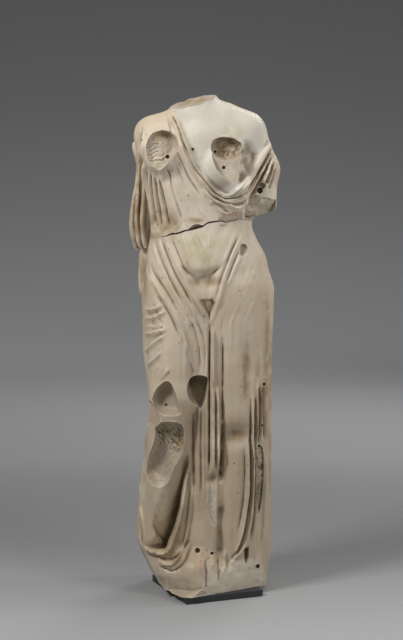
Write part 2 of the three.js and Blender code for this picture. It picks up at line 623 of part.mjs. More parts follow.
// The block lying beyond a break face.
function beyond({ out, distance, centre, half, thick }) {
  const normal = new THREE.Vector3(...out).normalize();
  const side = normal.clone().cross(new THREE.Vector3(0, 0, 1)).normalize();
  const rise = side.clone().cross(normal);
  const middle = new THREE.Vector3(...centre);
  middle.addScaledVector(normal, distance - middle.dot(normal) + thick / 2);
  const block = new THREE.BoxGeometry(2 * half[0], 2 * half[1], thick);
  return solid(block.applyMatrix4(new THREE.Matrix4().makeBasis(rise, side, normal).setPosition(middle)));
}

// An outline in x and z drawn through the figure from one depth to another.
function through(outline, front, back) {
  const shape = new THREE.Shape(outline.map(([x, z]) => new THREE.Vector2(x, z)));
  const geometry = new THREE.ExtrudeGeometry(shape, { depth: back - front, bevelEnabled: false });
  return solid(geometry.rotateX(Math.PI / 2).translate(0, back, 0));
}

function plinth() {
  const bottom = PLINTH_OUTLINE.map(([x, y]) => new THREE.Vector3(x, y, MARBLE_BOTTOM));
  const top = PLINTH_SHOULDER.map(([x, y]) => new THREE.Vector3(x, y, PLINTH_TOP));
  return solid(new ConvexGeometry([...bottom, ...top]));
}

let figure = solid(figureSkin()).add(plinth());
for (const stations of FLAP_FOLDS) figure = figure.add(foldTube(stations));
for (const item of HOLLOWS) figure = figure.subtract(hollow(item));
for (const item of DRILLED) figure = figure.subtract(drill(item));
for (const item of BREAKS) figure = figure.subtract(beyond(item));

const shifted = (dz) => WAIST_BREAK.map(([x, z]) => [x, z + dz]);
const cutAt = (dz, end) => through(
  [...shifted(dz), [FIGURE_REACH, end], [-FIGURE_REACH, end]], -FIGURE_REACH, FIGURE_REACH);
const above = cutAt(BREAK_GAP / 2, 1600);
const below = cutAt(-BREAK_GAP / 2, -50);
let upper = figure.intersect(above);
for (const chip of WAIST_CHIPS) upper = upper.subtract(through(chip, ...CHIP_DEPTHS));
const lower = figure.intersect(below);

function biggest(body) {
  const parts = body.decompose();
  return parts.reduce((a, b) => (b.volume() > a.volume() ? b : a));
}

function geometryOf(body) {
  const mesh = body.getMesh();
  const geometry = new THREE.BufferGeometry();
  geometry.setAttribute('position', new THREE.BufferAttribute(new Float32Array(mesh.vertProperties), 3));
  geometry.setIndex(Array.from(mesh.triVerts));
  geometry.computeVertexNormals();
  return geometry;
}

function slabGeometry() {
  const shape = new THREE.Shape(SLAB_CORNERS.map(([x, y]) => new THREE.Vector2(x, y)));
  const geometry = new THREE.ExtrudeGeometry(shape, {
    depth: SLAB_TOP - 2 * SLAB_CHAMFER,
    bevelEnabled: true,
    bevelThickness: SLAB_CHAMFER,
    bevelSize: SLAB_CHAMFER,
    bevelOffset: -SLAB_CHAMFER,
    bevelSegments: 1,
  });
  geometry.translate(0, 0, SLAB_CHAMFER);
  return geometry;
}

const marble = () => new THREE.MeshStandardMaterial({ color: 0xcfc4b0, roughness: 0.6, metalness: 0 });
const slate = new THREE.MeshStandardMaterial({ color: 0x3e4145, roughness: 0.55, metalness: 0 });

const group = new THREE.Group();
group.name = 'draped_figure';
function place(name, geometry, material) {
  const mesh = new THREE.Mesh(geometry, material);
  mesh.name = name;
  group.add(mesh);
}
place('upper_body', geometryOf(biggest(upper)), marble());
place('lower_body', geometryOf(biggest(lower)), marble());
place('base_slab', slabGeometry(), slate);

export default group;
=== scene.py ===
import math

import bmesh
import bpy
import numpy as np
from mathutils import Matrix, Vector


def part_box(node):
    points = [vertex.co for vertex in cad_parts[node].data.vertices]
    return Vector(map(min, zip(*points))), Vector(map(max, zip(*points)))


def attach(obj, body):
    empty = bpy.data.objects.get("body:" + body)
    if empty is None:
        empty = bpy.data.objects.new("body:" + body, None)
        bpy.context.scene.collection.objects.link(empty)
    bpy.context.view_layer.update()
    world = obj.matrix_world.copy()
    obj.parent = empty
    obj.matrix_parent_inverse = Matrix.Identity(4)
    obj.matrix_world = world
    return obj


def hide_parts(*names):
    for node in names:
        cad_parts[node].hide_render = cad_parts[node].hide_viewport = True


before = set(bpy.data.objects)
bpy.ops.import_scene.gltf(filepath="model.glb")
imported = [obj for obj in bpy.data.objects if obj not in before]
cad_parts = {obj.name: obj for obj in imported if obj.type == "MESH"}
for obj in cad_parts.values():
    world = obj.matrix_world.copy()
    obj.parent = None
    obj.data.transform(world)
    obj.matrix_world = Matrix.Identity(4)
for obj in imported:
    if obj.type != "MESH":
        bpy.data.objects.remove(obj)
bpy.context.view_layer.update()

# ---------------------------------------------------------------------------------------------
# Support slab: a thin plate of dark stone or painted metal, sawn to an uneven four-sided outline
# with its arrises rubbed down. It lies flat on the ground, and the marble only stands on it.

# Sizes are in millimetres and go to metres when a mesh is made. The front faces -Y.
MM = 0.001
SLAB_CORNERS = [(-51, -196), (162, -108), (60, 143), (-153, 57)]
SLAB_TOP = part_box("base_slab")[1][2] / MM
SLAB_ARRIS = 1.6
SLAB_ARRIS_MIDDLE = (0.4, 0.5)
CORNER_STRETCH = 1.4
SLAB_DARK = (0.013, 0.014, 0.017, 1.0)
SLAB_LIGHT = (0.032, 0.035, 0.04, 1.0)


def keep_marks(mesh, **marks):
    """Keeps numbers at each point of a mesh, for its finish to read."""
    for mark, values in marks.items():
        layer = mesh.attributes.new(mark, "FLOAT", "POINT")
        values = np.broadcast_to(values, len(mesh.vertices))
        layer.data.foreach_set("value", np.array(values, dtype=np.float32))


def new_piece(name, points, faces, **marks):
    """A mesh object from points in millimetres."""
    mesh = bpy.data.meshes.new(name)
    mesh.from_pydata((np.asarray(points) * MM).tolist(), [], faces)
    keep_marks(mesh, **marks)
    mesh.validate()
    piece = bpy.data.objects.new(name, mesh)
    bpy.context.scene.collection.objects.link(piece)
    return piece


def row_faces(rows, columns, closed):
    """Quads of a grid of points, row by row; closed joins the last column to the first."""
    j, i = np.meshgrid(np.arange(rows - 1), np.arange(columns if closed else columns - 1), indexing="ij")
    a = (j * columns + i).ravel()
    b = (j * columns + (i + 1) % columns).ravel()
    return np.stack([a, b, b + columns, a + columns], axis=1).tolist()


def points_of(mesh):
    """The mesh's points, in metres."""
    co = np.empty(len(mesh.vertices) * 3)
    mesh.vertices.foreach_get("co", co)
    return co.reshape(-1, 3)


def facing_outward(piece):
    """Turns a closed mesh's faces outward."""
    mesh = piece.data
    mesh.calc_loop_triangles()
    points = points_of(mesh)
    corners = np.empty(len(mesh.loop_triangles) * 3, dtype=np.int32)
    mesh.loop_triangles.foreach_get("vertices", corners)
    a, b, c = (points[corners.reshape(-1, 3)[:, k]] for k in range(3))
    if np.einsum("ij,ij->i", a, np.cross(b, c)).sum() < 0:
        mesh.flip_normals()
    return piece


def support_slab():
    corners = np.array(SLAB_CORNERS, dtype=float)
    centre = corners.mean(axis=0)
    toward = (centre - corners) / np.linalg.norm(centre - corners, axis=1)[:, None]
    inset, drop = SLAB_ARRIS_MIDDLE
    rings = [(SLAB_ARRIS, 0.0), (inset, drop), (0.0, SLAB_ARRIS), (0.0, SLAB_TOP - SLAB_ARRIS),
             (inset, SLAB_TOP - drop), (SLAB_ARRIS, SLAB_TOP)]
    points = [np.column_stack([corners + toward * in_by * CORNER_STRETCH, np.full(4, z)]) for in_by, z in rings]
    last = 4 * (len(rings) - 1)
    faces = row_faces(len(rings), 4, True) + [[3, 2, 1, 0], [last, last + 1, last + 2, last + 3]]
    return facing_outward(new_piece("dark_support_slab", np.vstack(points), faces))


class Finish:
    """A new material, with short calls for laying out its nodes."""

    def __init__(self, name):
        self.material = bpy.data.materials.new(name)
        self.material.use_nodes = True
        self.tree = self.material.node_tree
        self.tree.nodes.clear()
        self.where = self.add("ShaderNodeTexCoord").outputs["Object"]

    def add(self, kind, **values):
        node = self.tree.nodes.new(kind)
        for key, value in values.items():
            if key in node.inputs:
                self.put(node.inputs[key], value)
            else:
                setattr(node, key, value)
        return node

    def put(self, socket, value):
        if hasattr(value, "links"):
            self.tree.links.new(value, socket)
        else:
            socket.default_value = value

    def mark(self, name):
        return self.add("ShaderNodeAttribute", attribute_name=name).outputs["Fac"]

    def noise(self, scale, detail=3.0, roughness=0.55):
        return self.add("ShaderNodeTexNoise", Vector=self.where, Scale=scale, Detail=detail,
                        Roughness=roughness).outputs["Fac"]

    def ramp(self, value, low, high, out_low=0.0, out_high=1.0):
        node = self.add("ShaderNodeMapRange", interpolation_type="SMOOTHSTEP")
        for socket, given in zip(node.inputs, (value, low, high, out_low, out_high)):
            self.put(socket, given)
        return node.outputs[0]

    def math(self, operation, a, b):
        node = self.add("ShaderNodeMath", operation=operation)
        self.put(node.inputs[0], a)
        self.put(node.inputs[1], b)
        return node.outputs[0]

    def times(self, a, b):
        return self.math("MULTIPLY", a, b)

    def tint(self, colour, share, over):
        """The colour with that share of another laid over it."""
        node = self.add("ShaderNodeMix", data_type="RGBA")
        self.put(node.inputs["Factor"], share)
        self.put(node.inputs[6], colour)
        self.put(node.inputs[7], over)
        return node.outputs[2]

    def shade(self, colour, roughness, **values):
        values.update({"Base Color": colour, "Roughness": roughness})
        shader = self.add("ShaderNodeBsdfPrincipled", **values)
        self.add("ShaderNodeOutputMaterial", Surface=shader.outputs[0])
        return self.material


def slab_finish():
    finish = Finish("dark slab")
    cloudy = finish.noise(14.0)
    colour = finish.tint(SLAB_DARK, cloudy, SLAB_LIGHT)
    return finish.shade(colour, finish.ramp(cloudy, 0.3, 0.7, 0.42, 0.6))


def hand_over(piece, finish, node):
    """Gives a piece its finish, hangs it from the root body and hides the solid it stands for."""
    piece.data.materials.clear()
    piece.data.materials.append(finish)
    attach(piece, "root")
    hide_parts(node)


hand_over(support_slab(), slab_finish(), "base_slab")

# ---------------------------------------------------------------------------------------------
# Lower marble: hips, legs, clinging drapery and the rough block under the feet, carved with point
# and chisel from one block of white marble, now weathered and stained. It stands on the slab by
# its own weight. Old breaks have taken the right knee, the right foot and the block's front.
MARBLE_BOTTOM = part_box("lower_body")[0][2] / MM

# The body is level sections of the draped figure, with rounded masses melted into it. Each
# section: height, left, right, front, back.
SECTIONS = np.array([
    [0, -168, 165, -140, 128], [60, -184, 168, -130, 130], [120, -190, 171, -122, 130],
    [200, -186, 171, -116, 128], [330, -174, 172, -108, 124], [430, -154, 173, -104, 122],
    [500, -144, 174, -102, 120], [580, -156, 175, -102, 120], [680, -168, 177, -102, 122],
    [760, -170, 179, -104, 124], [870, -168, 176, -104, 126], [910, -167, 171, -102, 124],
    [955, -164, 160, -98, 118], [1000, -156, 136, -94, 108], [1040, -154, 122, -90, 98],
    [1090, -160, 134, -92, 96], [1150, -170, 152, -98, 100], [1220, -178, 160, -100, 102],
    [1290, -174, 154, -90, 96], [1340, -150, 140, -70, 80],
], dtype=float)
SECTION_POWER = 2.5
SECTION_TOP = 1318.0
SECTION_TOP_BLEND = 40.0
SECTION_STEP = 2.0

# Each mass: start, radius, end, radius, depth factor, blend.
MASSES = [
    ((-145, 6, 1288), 51, (-143, 4, 1250), 50, 1.0, 18),
    ((-145, 8, 1292), 50, (-40, 12, 1336), 48, 1.0, 22),
    ((-29, 14, 1320), 64, (-31, 18, 1440), 58, 0.9, 16),
    ((20, 14, 1340), 50, (106, 8, 1304), 49, 1.0, 22),
    ((117, 6, 1298), 53, (160, 0, 1195), 47, 1.0, 18),
    ((160, 0, 1195), 47, (149, 0, 1106), 46, 1.0, 18),
    ((-118, -62, 1248), 56, (-112, -66, 1232), 58, 1.0, 20),
    ((66, -64, 1226), 60, (60, -74, 1202), 62, 1.0, 16),
    ((64, -72, 1196), 54, (86, -78, 1160), 38, 1.0, 10),
    ((-6, -36, 945), 66, (-4, -34, 850), 74, 1.0, 40),
    ((-86, -14, 850), 84, (-92, -90, 560), 62, 1.0, 22),
    ((-92, -90, 560), 62, (-106, -84, 420), 58, 1.0, 18),
    ((-106, -84, 420), 58, (-128, -62, 100), 70, 1.0, 22),
    ((90, -2, 850), 88, (86, -34, 520), 66, 1.0, 24),
    ((86, -34, 520), 60, (66, -58, 90), 52, 1.0, 22),
    ((132, -4, 850), 47, (133, -2, 40), 42, 1.0, 22),
    ((8, -66, 720), 26, (10, -82, 430), 34, 1.0, 16),
    ((10, -82, 430), 34, (-4, -98, 60), 50, 1.0, 18),
    ((-112, -66, 100), 62, (-20, -116, 70), 62, 1.0, 22),
    ((-8, -120, 44), 54, (118, -62, 46), 46, 1.0, 20),
    ((-24, -2, 1346), 62, (6, -18, 1296), 66, 1.0, 30),
    ((56, -2, 1326), 50, (108, -2, 1300), 50, 1.0, 30),
]


def smoothstep(low, high, v):
    """0 up to low, 1 from high on, and a smooth rise between."""
    t = np.clip((v - low) / (high - low), 0.0, 1.0)
    return t * t * (3.0 - 2.0 * t)


def melt(a, b, blend):
    """The lesser of two distances, rounded where they meet."""
    h = np.maximum(blend - np.abs(a - b), 0.0) / blend
    return np.minimum(a, b) - h * h * blend / 4.0


def section_table():
    """The sections joined by a smooth curve and read every few millimetres."""
    z, sizes = SECTIONS[:, 0], SECTIONS[:, 1:]
    slopes = np.empty_like(sizes)
    slopes[1:-1] = (sizes[2:] - sizes[:-2]) / (z[2:] - z[:-2])[:, None]
    slopes[0] = (sizes[1] - sizes[0]) / (z[1] - z[0])
    slopes[-1] = (sizes[-1] - sizes[-2]) / (z[-1] - z[-2])
    heights = np.arange(z[0], z[-1] + SECTION_STEP, SECTION_STEP)
    i = np.clip(np.searchsorted(z, heights, side="right") - 1, 0, len(z) - 2)
    span = (z[i + 1] - z[i])[:, None]
    t = np.clip((heights - z[i])[:, None] / span, 0.0, 1.0)
    return heights, ((2 * t ** 3 - 3 * t ** 2 + 1) * sizes[i] + (t ** 3 - 2 * t ** 2 + t) * span * slopes[i]
                     + (3 * t ** 2 - 2 * t ** 3) * sizes[i + 1] + (t ** 3 - t ** 2) * span * slopes[i + 1])


SECTION_Z, SECTION_SIZES = section_table()


def outside_body(p):
    """How far each point is outside the smooth body, less than zero inside."""
    x, y, z = p[:, 0], p[:, 1], p[:, 2]
    left, right, front, back = [np.interp(z, SECTION_Z, SECTION_SIZES[:, k]) for k in range(4)]
    middle = (left + right) / 4.0
    half_width = np.where(x < middle, middle - left, right - middle)
    half_depth = np.where(y < 0, -front, back)
    q = (np.abs((x - middle) / half_width) ** SECTION_POWER
         + np.abs(y / half_depth) ** SECTION_POWER) ** (1 / SECTION_POWER) + 1e-9
    d = -melt(-np.hypot(x - middle, y) * (1 - 1 / q), -(z - SECTION_TOP), SECTION_TOP_BLEND)
    for start, r0, end, r1, depth, blend in MASSES:
        start = np.array(start, dtype=float)
        axis = np.array(end, dtype=float) - start
        v = p - start
        t = np.clip(v @ axis / (axis @ axis), 0.0, 1.0)
        off = v - t[:, None] * axis
        off[:, 1] /= depth
        d = melt(d, np.linalg.norm(off, axis=1) - (r0 + (r1 - r0) * t), blend)
    return d


RAY_START = 330.0
RAY_STEP = 6.0
RAY_HALVINGS = 9


def skin_radius(directions, centres):
    """Distance out to the skin along rays from the figure's axis, found from outside inward."""
    high = np.full(len(directions), RAY_START)
    open_rays = np.arange(len(directions))
    while len(open_rays):
        trial = high[open_rays] - RAY_STEP
        inside = outside_body(centres[open_rays] + directions[open_rays] * trial[:, None]) < 0
        high[open_rays[~inside]] -= RAY_STEP
        open_rays = open_rays[~inside & (trial > RAY_STEP)]
    low = high - RAY_STEP
    for _ in range(RAY_HALVINGS):
        middle = (low + high) / 2.0
        inside = outside_body(centres + directions * middle[:, None]) < 0
        low = np.where(inside, middle, low)
        high = np.where(inside, high, middle)
    return (low + high) / 2.0


def lattice_number(ix, iy, iz, seed):
    """A number from 0 to 1 for each point of a lattice, the same on every run."""
    n = ix * 374761393 + iy * 668265263 + iz * 2147483647 + seed * 1274126177
    n = (n ^ (n >> 13)) * 1274126177
    n = n ^ (n >> 16)
    return (n & 0xFFFF) / 65535.0


def lumps(p, size, seed):
    """Smooth unevenness from -1 to 1 with lumps of about that size."""
    q = p / size
    cell = np.floor(q).astype(np.int64)
    f = q - cell
    f = f * f * (3.0 - 2.0 * f)
    total = np.zeros(len(p))
    for corner in range(8):
        step = np.array([corner & 1, corner >> 1 & 1, corner >> 2 & 1])
        weight = np.prod(np.where(step == 1, f, 1.0 - f), axis=1)
        at = cell + step
        total += weight * lattice_number(at[:, 0], at[:, 1], at[:, 2], seed)
    return total * 2.0 - 1.0


def rough_stone(p, size, seed):
    """Lumps of that size with smaller ones on them."""
    return sum(0.5 ** i * lumps(p, size / 2.0 ** i, seed + i) for i in range(3))


# Folds are cut along lines over the skin: height (minus for a hollow), half width, line in x and z.
HIP_MAIN = [(-110, 1003), (-97, 974), (-82, 942), (-66, 913), (-50, 881), (-30, 843), (-10, 810), (10, 779)]
HEM_FIRST = [
    (-42, 403), (-49, 360), (-57, 304), (-67, 247), (-78, 202), (-91, 165), (-105, 134), (-132, 130),
    (-154, 135), (-171, 145),
]
HEM_SECOND = [(-34, 307), (-38, 259), (-43, 217), (-50, 177), (-61, 140), (-78, 113), (-98, 99), (-126, 104)]
HEM_GROOVE = [(-50, 160), (-64, 135), (-84, 118), (-109, 112), (-134, 121)]
HEM_LOW_GROOVE = [(-42, 144), (-53, 116), (-73, 93), (-95, 82), (-126, 93)]

LOWER_FOLDS = [
    (8, 8, HIP_MAIN),
    (-5, 5, [(-119, 999), (-103, 956), (-90, 922), (-75, 892), (-57, 862), (-39, 826)]),
    (5, 6.5, [(-128, 996), (-114, 963), (-101, 925), (-81, 884), (-57, 843), (-32, 796), (-17, 756)]),
    (4, 6.5, [(-148, 990), (-136, 954), (-122, 921), (-102, 886), (-80, 843), (-53, 790), (-30, 734)]),
    (-5, 5.5, [(-154, 937), (-144, 912), (-125, 884), (-102, 851), (-80, 810)]),
    (7, 8, [(-164, 905), (-141, 879), (-119, 846), (-97, 813), (-75, 774), (-57, 732), (-42, 663)]),
    (7, 5, [(-74, 1009), (-62, 975), (-47, 931)]),
    (-4, 6, [(92, 1010), (72, 966), (59, 929), (44, 892), (36, 857), (17, 784)]),
    (4, 7.5, [(99, 1004), (82, 972), (69, 939), (55, 901), (44, 857), (30, 807)]),
    (7, 6, [(-168, 804), (-136, 810), (-120, 820)]),
    (7, 6, [(-168, 777), (-134, 788), (-111, 802)]),
    (7, 6, [(-174, 733), (-136, 745), (-108, 753)]),
    (8, 6, [(-169, 684), (-140, 716), (-115, 734)]),
    (8, 6, [(-166, 641), (-134, 678), (-124, 689)]),
    (-16, 5, [(13, 762), (13, 689), (12, 603), (12, 445), (11, 359)]),
    (10, 5, [(24, 751), (23, 667), (23, 597)]),
    (11, 5.5, [(22, 582), (22, 360)]),
    (11, 5.5, [(37, 582), (37, 360)]),
    (-7, 2.5, [(30, 577), (30, 363)]),
    (-4, 15, [(-14, 259), (-14, 196), (-14, 140)]),
    (-4, 9, [(50, 453), (56, 413), (61, 362)]),
    (-12, 7, [(49, 723), (49, 633), (47, 555), (48, 471)]),
    (-19, 7, [(48, 500), (48, 440), (46, 380), (43, 331)]),
    (-16, 11, [(43, 262), (42, 200), (40, 118)]),
    (7, 4, [(-17, 556), (-17, 472), (-17, 360), (-17, 269)]),
    (7, 4, [(-4, 556), (-4, 444), (-4, 345), (-4, 266)]),
    (-10, 7, [(-33, 513), (-33, 443), (-33, 373), (-29, 303)]),
    (13, 5, HEM_FIRST),
    (10, 4.5, HEM_SECOND),
    (-8, 4, HEM_GROOVE),
    (-8, 4, HEM_LOW_GROOVE),
    (10, 5, [(-183, 259), (-175, 223), (-168, 188), (-162, 150)]),
    (9, 5.5, [(118, 441), (121, 356), (121, 285), (111, 216), (97, 156), (80, 111)]),
    (-11, 4.5, [(129, 553), (129, 483), (130, 383), (129, 299), (121, 234), (109, 176), (92, 133),
     (76, 112)]),
    (9, 5, [(136, 558), (135, 448), (137, 374), (135, 306), (130, 234), (118, 167), (101, 129), (73, 103)]),
    (-6, 5, [(110, 413), (111, 329), (105, 259), (92, 184)]),
    (-12, 4, [(141, 552), (141, 439), (145, 353), (144, 282), (138, 212), (129, 157)]),
    (9, 4, [(146, 608), (146, 524), (146, 438)]),
    (9, 4, [(155, 593), (156, 522), (156, 445)]),
    (8, 5, [(165, 393), (165, 321), (164, 207), (160, 136)]),
    (9, 6, [(56, 129), (53, 91), (50, 60)]),
    (11, 6, [(19, 113), (21, 83), (22, 50)]),
    (-6, 6, [(3, 120), (3, 80), (3, 34)]),
    (-7, 6, [(36, 115), (38, 84), (39, 51)]),
    (12, 6, [(-10, 116), (-7, 79), (-6, 41)]),
    (12, 7, [(78, 106), (81, 83), (84, 62)]),
    (-9, 5, [(127, 84), (131, 61), (134, 33)]),
    (12, 6, [(145, 109), (147, 75), (148, 45)]),
    # Finer cutting between them.
    (-4.5, 5, [(-138, 993), (-125, 957), (-112, 922), (-94, 884), (-69, 840)]),
    (-5.5, 5, [(-128, 842), (-108, 812), (-90, 779), (-75, 741)]),
    (2, 5, [(-61, 1012), (-50, 986), (-39, 959)]),
    (-4, 5, [(-91, 1002), (-77, 969), (-64, 938), (-47, 904)]),
    (-5.5, 5, [(-22, 773), (-11, 745), (-1, 709), (1, 634)]),
    (-4.5, 5, [(-39, 773), (-25, 740), (-17, 701), (-13, 634)]),
    (-4.5, 5, [(-51, 699), (-42, 665), (-32, 629)]),
    (-3.5, 4.5, [(94, 972), (83, 944), (72, 917), (61, 887)]),
    (3, 5, [(100, 955), (89, 933), (79, 909), (66, 876)]),
    (3, 5, [(80, 1008), (66, 972), (52, 939)]),
    (3, 5, [(-165, 757), (-136, 759), (-116, 765)]),
    (6, 4.5, [(-121, 618), (-99, 646)]),
    (-3, 2.6, [(-11, 520), (-11, 310)]),
    (3, 3, [(-67, 278), (-83, 255), (-101, 234), (-127, 211)]),
    (-8, 4, [(-189, 224), (-184, 186), (-176, 147)]),
    (-10, 3, [(151, 585), (151, 423)]),
    (-10, 3, [(161, 595), (162, 436)]),
]

# Hollows carved between folds: depth, softness of the edge, outline in x and z.
LOWER_DIPS = [
    (14, 30, [(-80, 939), (-14, 923), (58, 939), (39, 890), (33, 835), (12, 773), (-17, 821), (-52, 881)]),
    (17, 9, [(-22, 840), (24, 843), (32, 824), (12, 772)]),
    (20, 8, [(105, 135), (124, 141), (124, 113), (115, 86), (107, 104)]),
]

# The long hollow beside the right shin falls from one sharp crest: depth, width, line of the crest.
LOWER_SCOOPS = [(56, 82, HEM_FIRST)]

# Soft broad hollows: x, z, half width, half height, depth.
LOWER_SOFT = [
    (84, 456, 38, 26, 20), (54, 200, 12, 100, 5), (50, 350, 11, 80, 6), (0, 884, 40, 16, 5),
    (117, 622, 15, 92, 15), (20, 336, 16, 17, 13), (-54, 368, 12, 40, 8),
]

# Upright folds that run over both stones, round the sides and the back: angle from the front,
# bottom, top, height, half width.
SIDE_FOLDS = [
    (76, 40, 1010, 8, 4.5), (92, 40, 1180, 10, 5), (108, 30, 1000, 12, 6), (126, 40, 1210, 13, 7),
    (146, 30, 1050, 14, 7), (166, 40, 1240, 14, 7), (-172, 30, 1100, 14, 7), (-150, 40, 1220, 14, 7),
    (-130, 30, 1000, 13, 7), (-110, 40, 900, 11, 6), (-94, 150, 960, 9, 5), (-78, 150, 760, 7, 4.5),
]


def off_line(x, z, line, reach=1e9):
    """Nearest distance to a line, how far along it, and which side; far points are skipped."""
    line = np.asarray(line, dtype=float)
    distance = np.full(len(x), 1e6)
    along, side = np.zeros(len(x)), np.zeros(len(x))
    low, high = line.min(axis=0) - reach, line.max(axis=0) + reach
    near = np.flatnonzero((x > low[0]) & (x < high[0]) & (z > low[1]) & (z < high[1]))
    px, pz = x[near], z[near]
    best = np.full(len(near), 1e6)
    for i in range(len(line) - 1):
        ux, uz = line[i + 1] - line[i]
        vx, vz = px - line[i][0], pz - line[i][1]
        t = np.clip((vx * ux + vz * uz) / (ux * ux + uz * uz), 0.0, 1.0)
        d = np.hypot(vx - ux * t, vz - uz * t)
        closer = d < best
        best = np.where(closer, d, best)
        along[near] = np.where(closer, (i + t) / (len(line) - 1), along[near])
        side[near] = np.where(closer, np.sign(ux * vz - uz * vx), side[near])
    distance[near] = best
    return distance, along, side


def curved(line, per_span=4):
    """A line drawn as a smooth curve through its points."""
    p = np.asarray(line, dtype=float)
    if len(p) < 3:
        return p
    padded = np.vstack([2 * p[0] - p[1], p, 2 * p[-1] - p[-2]])
    out = []
    for i in range(1, len(padded) - 2):
        a, b, c, d = padded[i - 1:i + 3]
        for t in np.arange(per_span) / per_span:
            out.append(0.5 * (2 * b + (c - a) * t + (2 * a - 5 * b + 4 * c - d) * t * t
                              + (3 * b - a - 3 * c + d) * t ** 3))
    out.append(p[-1])
    return np.array(out)


def front_points(x, z):
    """Points of the front as it is seen, without depth."""
    return np.stack([x, 0.0 * x, z], axis=1)


# How a fold falls away from its line and toward its ends, and how unevenly it is worn.
FOLD_SHARPNESS = 1.7
FOLD_FALL = 1.6
FOLD_REACH = 2.5
FOLD_END = 0.12
FOLD_END_SHARE = 0.35
FOLD_WEAR = 0.16
FOLD_WEAR_LUMPS = 15.0


def fold_relief(x, z, folds):
    """Ridges and hollows of a list of folds, their height unevenly worn."""
    up, down = np.zeros(len(x)), np.zeros(len(x))
    for height, half, line in folds:
        d, along, _ = off_line(x, z, curved(line), reach=half * FOLD_REACH)
        ends = smoothstep(0.0, FOLD_END, along) * smoothstep(0.0, FOLD_END, 1.0 - along)
        v = height * np.exp(-(d / half) ** FOLD_SHARPNESS * FOLD_FALL)
        v *= FOLD_END_SHARE + (1.0 - FOLD_END_SHARE) * ends
        up = np.maximum(up, v)
        down = np.minimum(down, v)
    return (up + down) * (1.0 + FOLD_WEAR * lumps(front_points(x, z), FOLD_WEAR_LUMPS, 171))


# Where the thin cloth's creases meet over the right shoulder, and where they turn: at the waist
# from that fan to the slant of the V, and at its foot to the upright.
CREASE_FAN = (-170.0, 1440.0)
CREASE_FAN_DROP = 330.0
CREASE_FAN_LEAST = 40.0
CREASE_WAIST = 1040.0
CREASE_V_FOOT = 770.0
CREASE_SLANTS = (0.45, -0.41)
# How much longer than wide they run, and their share, width and seed.
CREASE_STRETCH = 14.0
CREASE_GRAIN = ((0.6, 8.0, 181), (0.4, 15.0, 183))
CREASE_PATCHES = 45.0
CREASE_FAINTEST = 0.35


def thin_cloth(x, z):
    """Fine running creases: they fan out from the right shoulder, then follow the V below the belly
    and hang straight down the legs."""
    fan_x, fan_z = CREASE_FAN
    fan = (x - fan_x) / (fan_z - np.minimum(z, fan_z - CREASE_FAN_LEAST)) * CREASE_FAN_DROP
    slant = x + np.where(x < 10.0, *CREASE_SLANTS) * (np.maximum(z, CREASE_V_FOOT) - CREASE_V_FOOT)
    run = np.where(z > CREASE_WAIST, fan, slant)
    grain = front_points(run, z / CREASE_STRETCH)
    patches = smoothstep(-0.3, 0.5, lumps(front_points(x, z), CREASE_PATCHES, 191))
    strength = CREASE_FAINTEST + (1.0 - CREASE_FAINTEST) * patches
    return strength * sum(share * lumps(grain, width, seed) for share, width, seed in CREASE_GRAIN)


def dip_relief(x, z, depth, edge, outline):
    """How far the skin sinks inside a closed outline."""
    ring = np.vstack([outline, outline[:1]]).astype(float)
    inside = np.zeros(len(x), dtype=bool)
    for (x0, z0), (x1, z1) in zip(ring[:-1], ring[1:]):
        if z0 != z1:
            crosses = (z0 > z) != (z1 > z)
            inside ^= crosses & (x < (x1 - x0) * (z - z0) / (z1 - z0) + x0)
    d, _, _ = off_line(x, z, ring, reach=edge)
    sunk = np.where(d > 1e5, 1.0, smoothstep(0.0, edge, d))
    return -depth * np.where(inside, sunk, 0.0)


# A scoop's depth grows over these distances from its crest, and over these shares of its length.
SCOOP_CREST = (2.0, 10.0)
SCOOP_START = (0.0, 0.4)
SCOOP_END = (0.6, 1.0)
SCOOP_FLAT = 0.1


def scoop_relief(x, z, depth, width, line):
    """How far the skin sinks beside a sharp crest, on the side that the line's left hand shows."""
    d, along, side = off_line(x, z, curved(line), reach=width)
    grown = smoothstep(*SCOOP_START, along) * (1.0 - smoothstep(*SCOOP_END, along))
    away = 1.0 - smoothstep(SCOOP_FLAT * width, width, d)
    return -depth * grown * (side < 0) * smoothstep(*SCOOP_CREST, d) * away


# The upright folds sway a few degrees, and run out over these heights at foot and head.
SIDE_FOLD_SWAY = 3.0
SIDE_FOLD_WAVE = 170.0
SIDE_FOLD_FOOT = np.array([-30, 60])
SIDE_FOLD_HEAD = 120


def side_fold_relief(degrees, z):
    """How far the upright folds round the sides and back stand out."""
    up = np.zeros(len(z))
    for at, bottom, top, height, half in SIDE_FOLDS:
        away = np.abs(degrees - at - SIDE_FOLD_SWAY * np.sin(z / SIDE_FOLD_WAVE + at)) % 360.0
        away = np.minimum(away, 360.0 - away)
        ends = smoothstep(*(bottom + SIDE_FOLD_FOOT), z) * (1.0 - smoothstep(top - SIDE_FOLD_HEAD, top, z))
        up = np.maximum(up, height * ends * np.exp(-(away / half) ** 2))
    return up


def ring_faces(rings, count):
    """Faces of stacked rings of points, closed by a middle point below and one above."""
    faces = row_faces(rings, count, True)
    below, last = rings * count, (rings - 1) * count
    for i in range(count):
        j = (i + 1) % count
        faces += [[j, i, below], [last + i, last + j, below + 1]]
    return faces


# The finer rays cover the front to a little past the sides. A fold stands out partly square to
# the skin and partly straight forward. Between the folds the skin swells and ripples a little.
FRONT_SWEEP = 0.55 * math.pi
SLOPE_REACH = 2.0
SQUARE_SHARE = 0.5
SKIN_SWELL, SKIN_SWELL_LUMPS = 0.7, 34.0
SKIN_RIPPLE, SKIN_RIPPLE_LUMPS = 0.3, 7.0
CREASE_DEPTH = 3.0


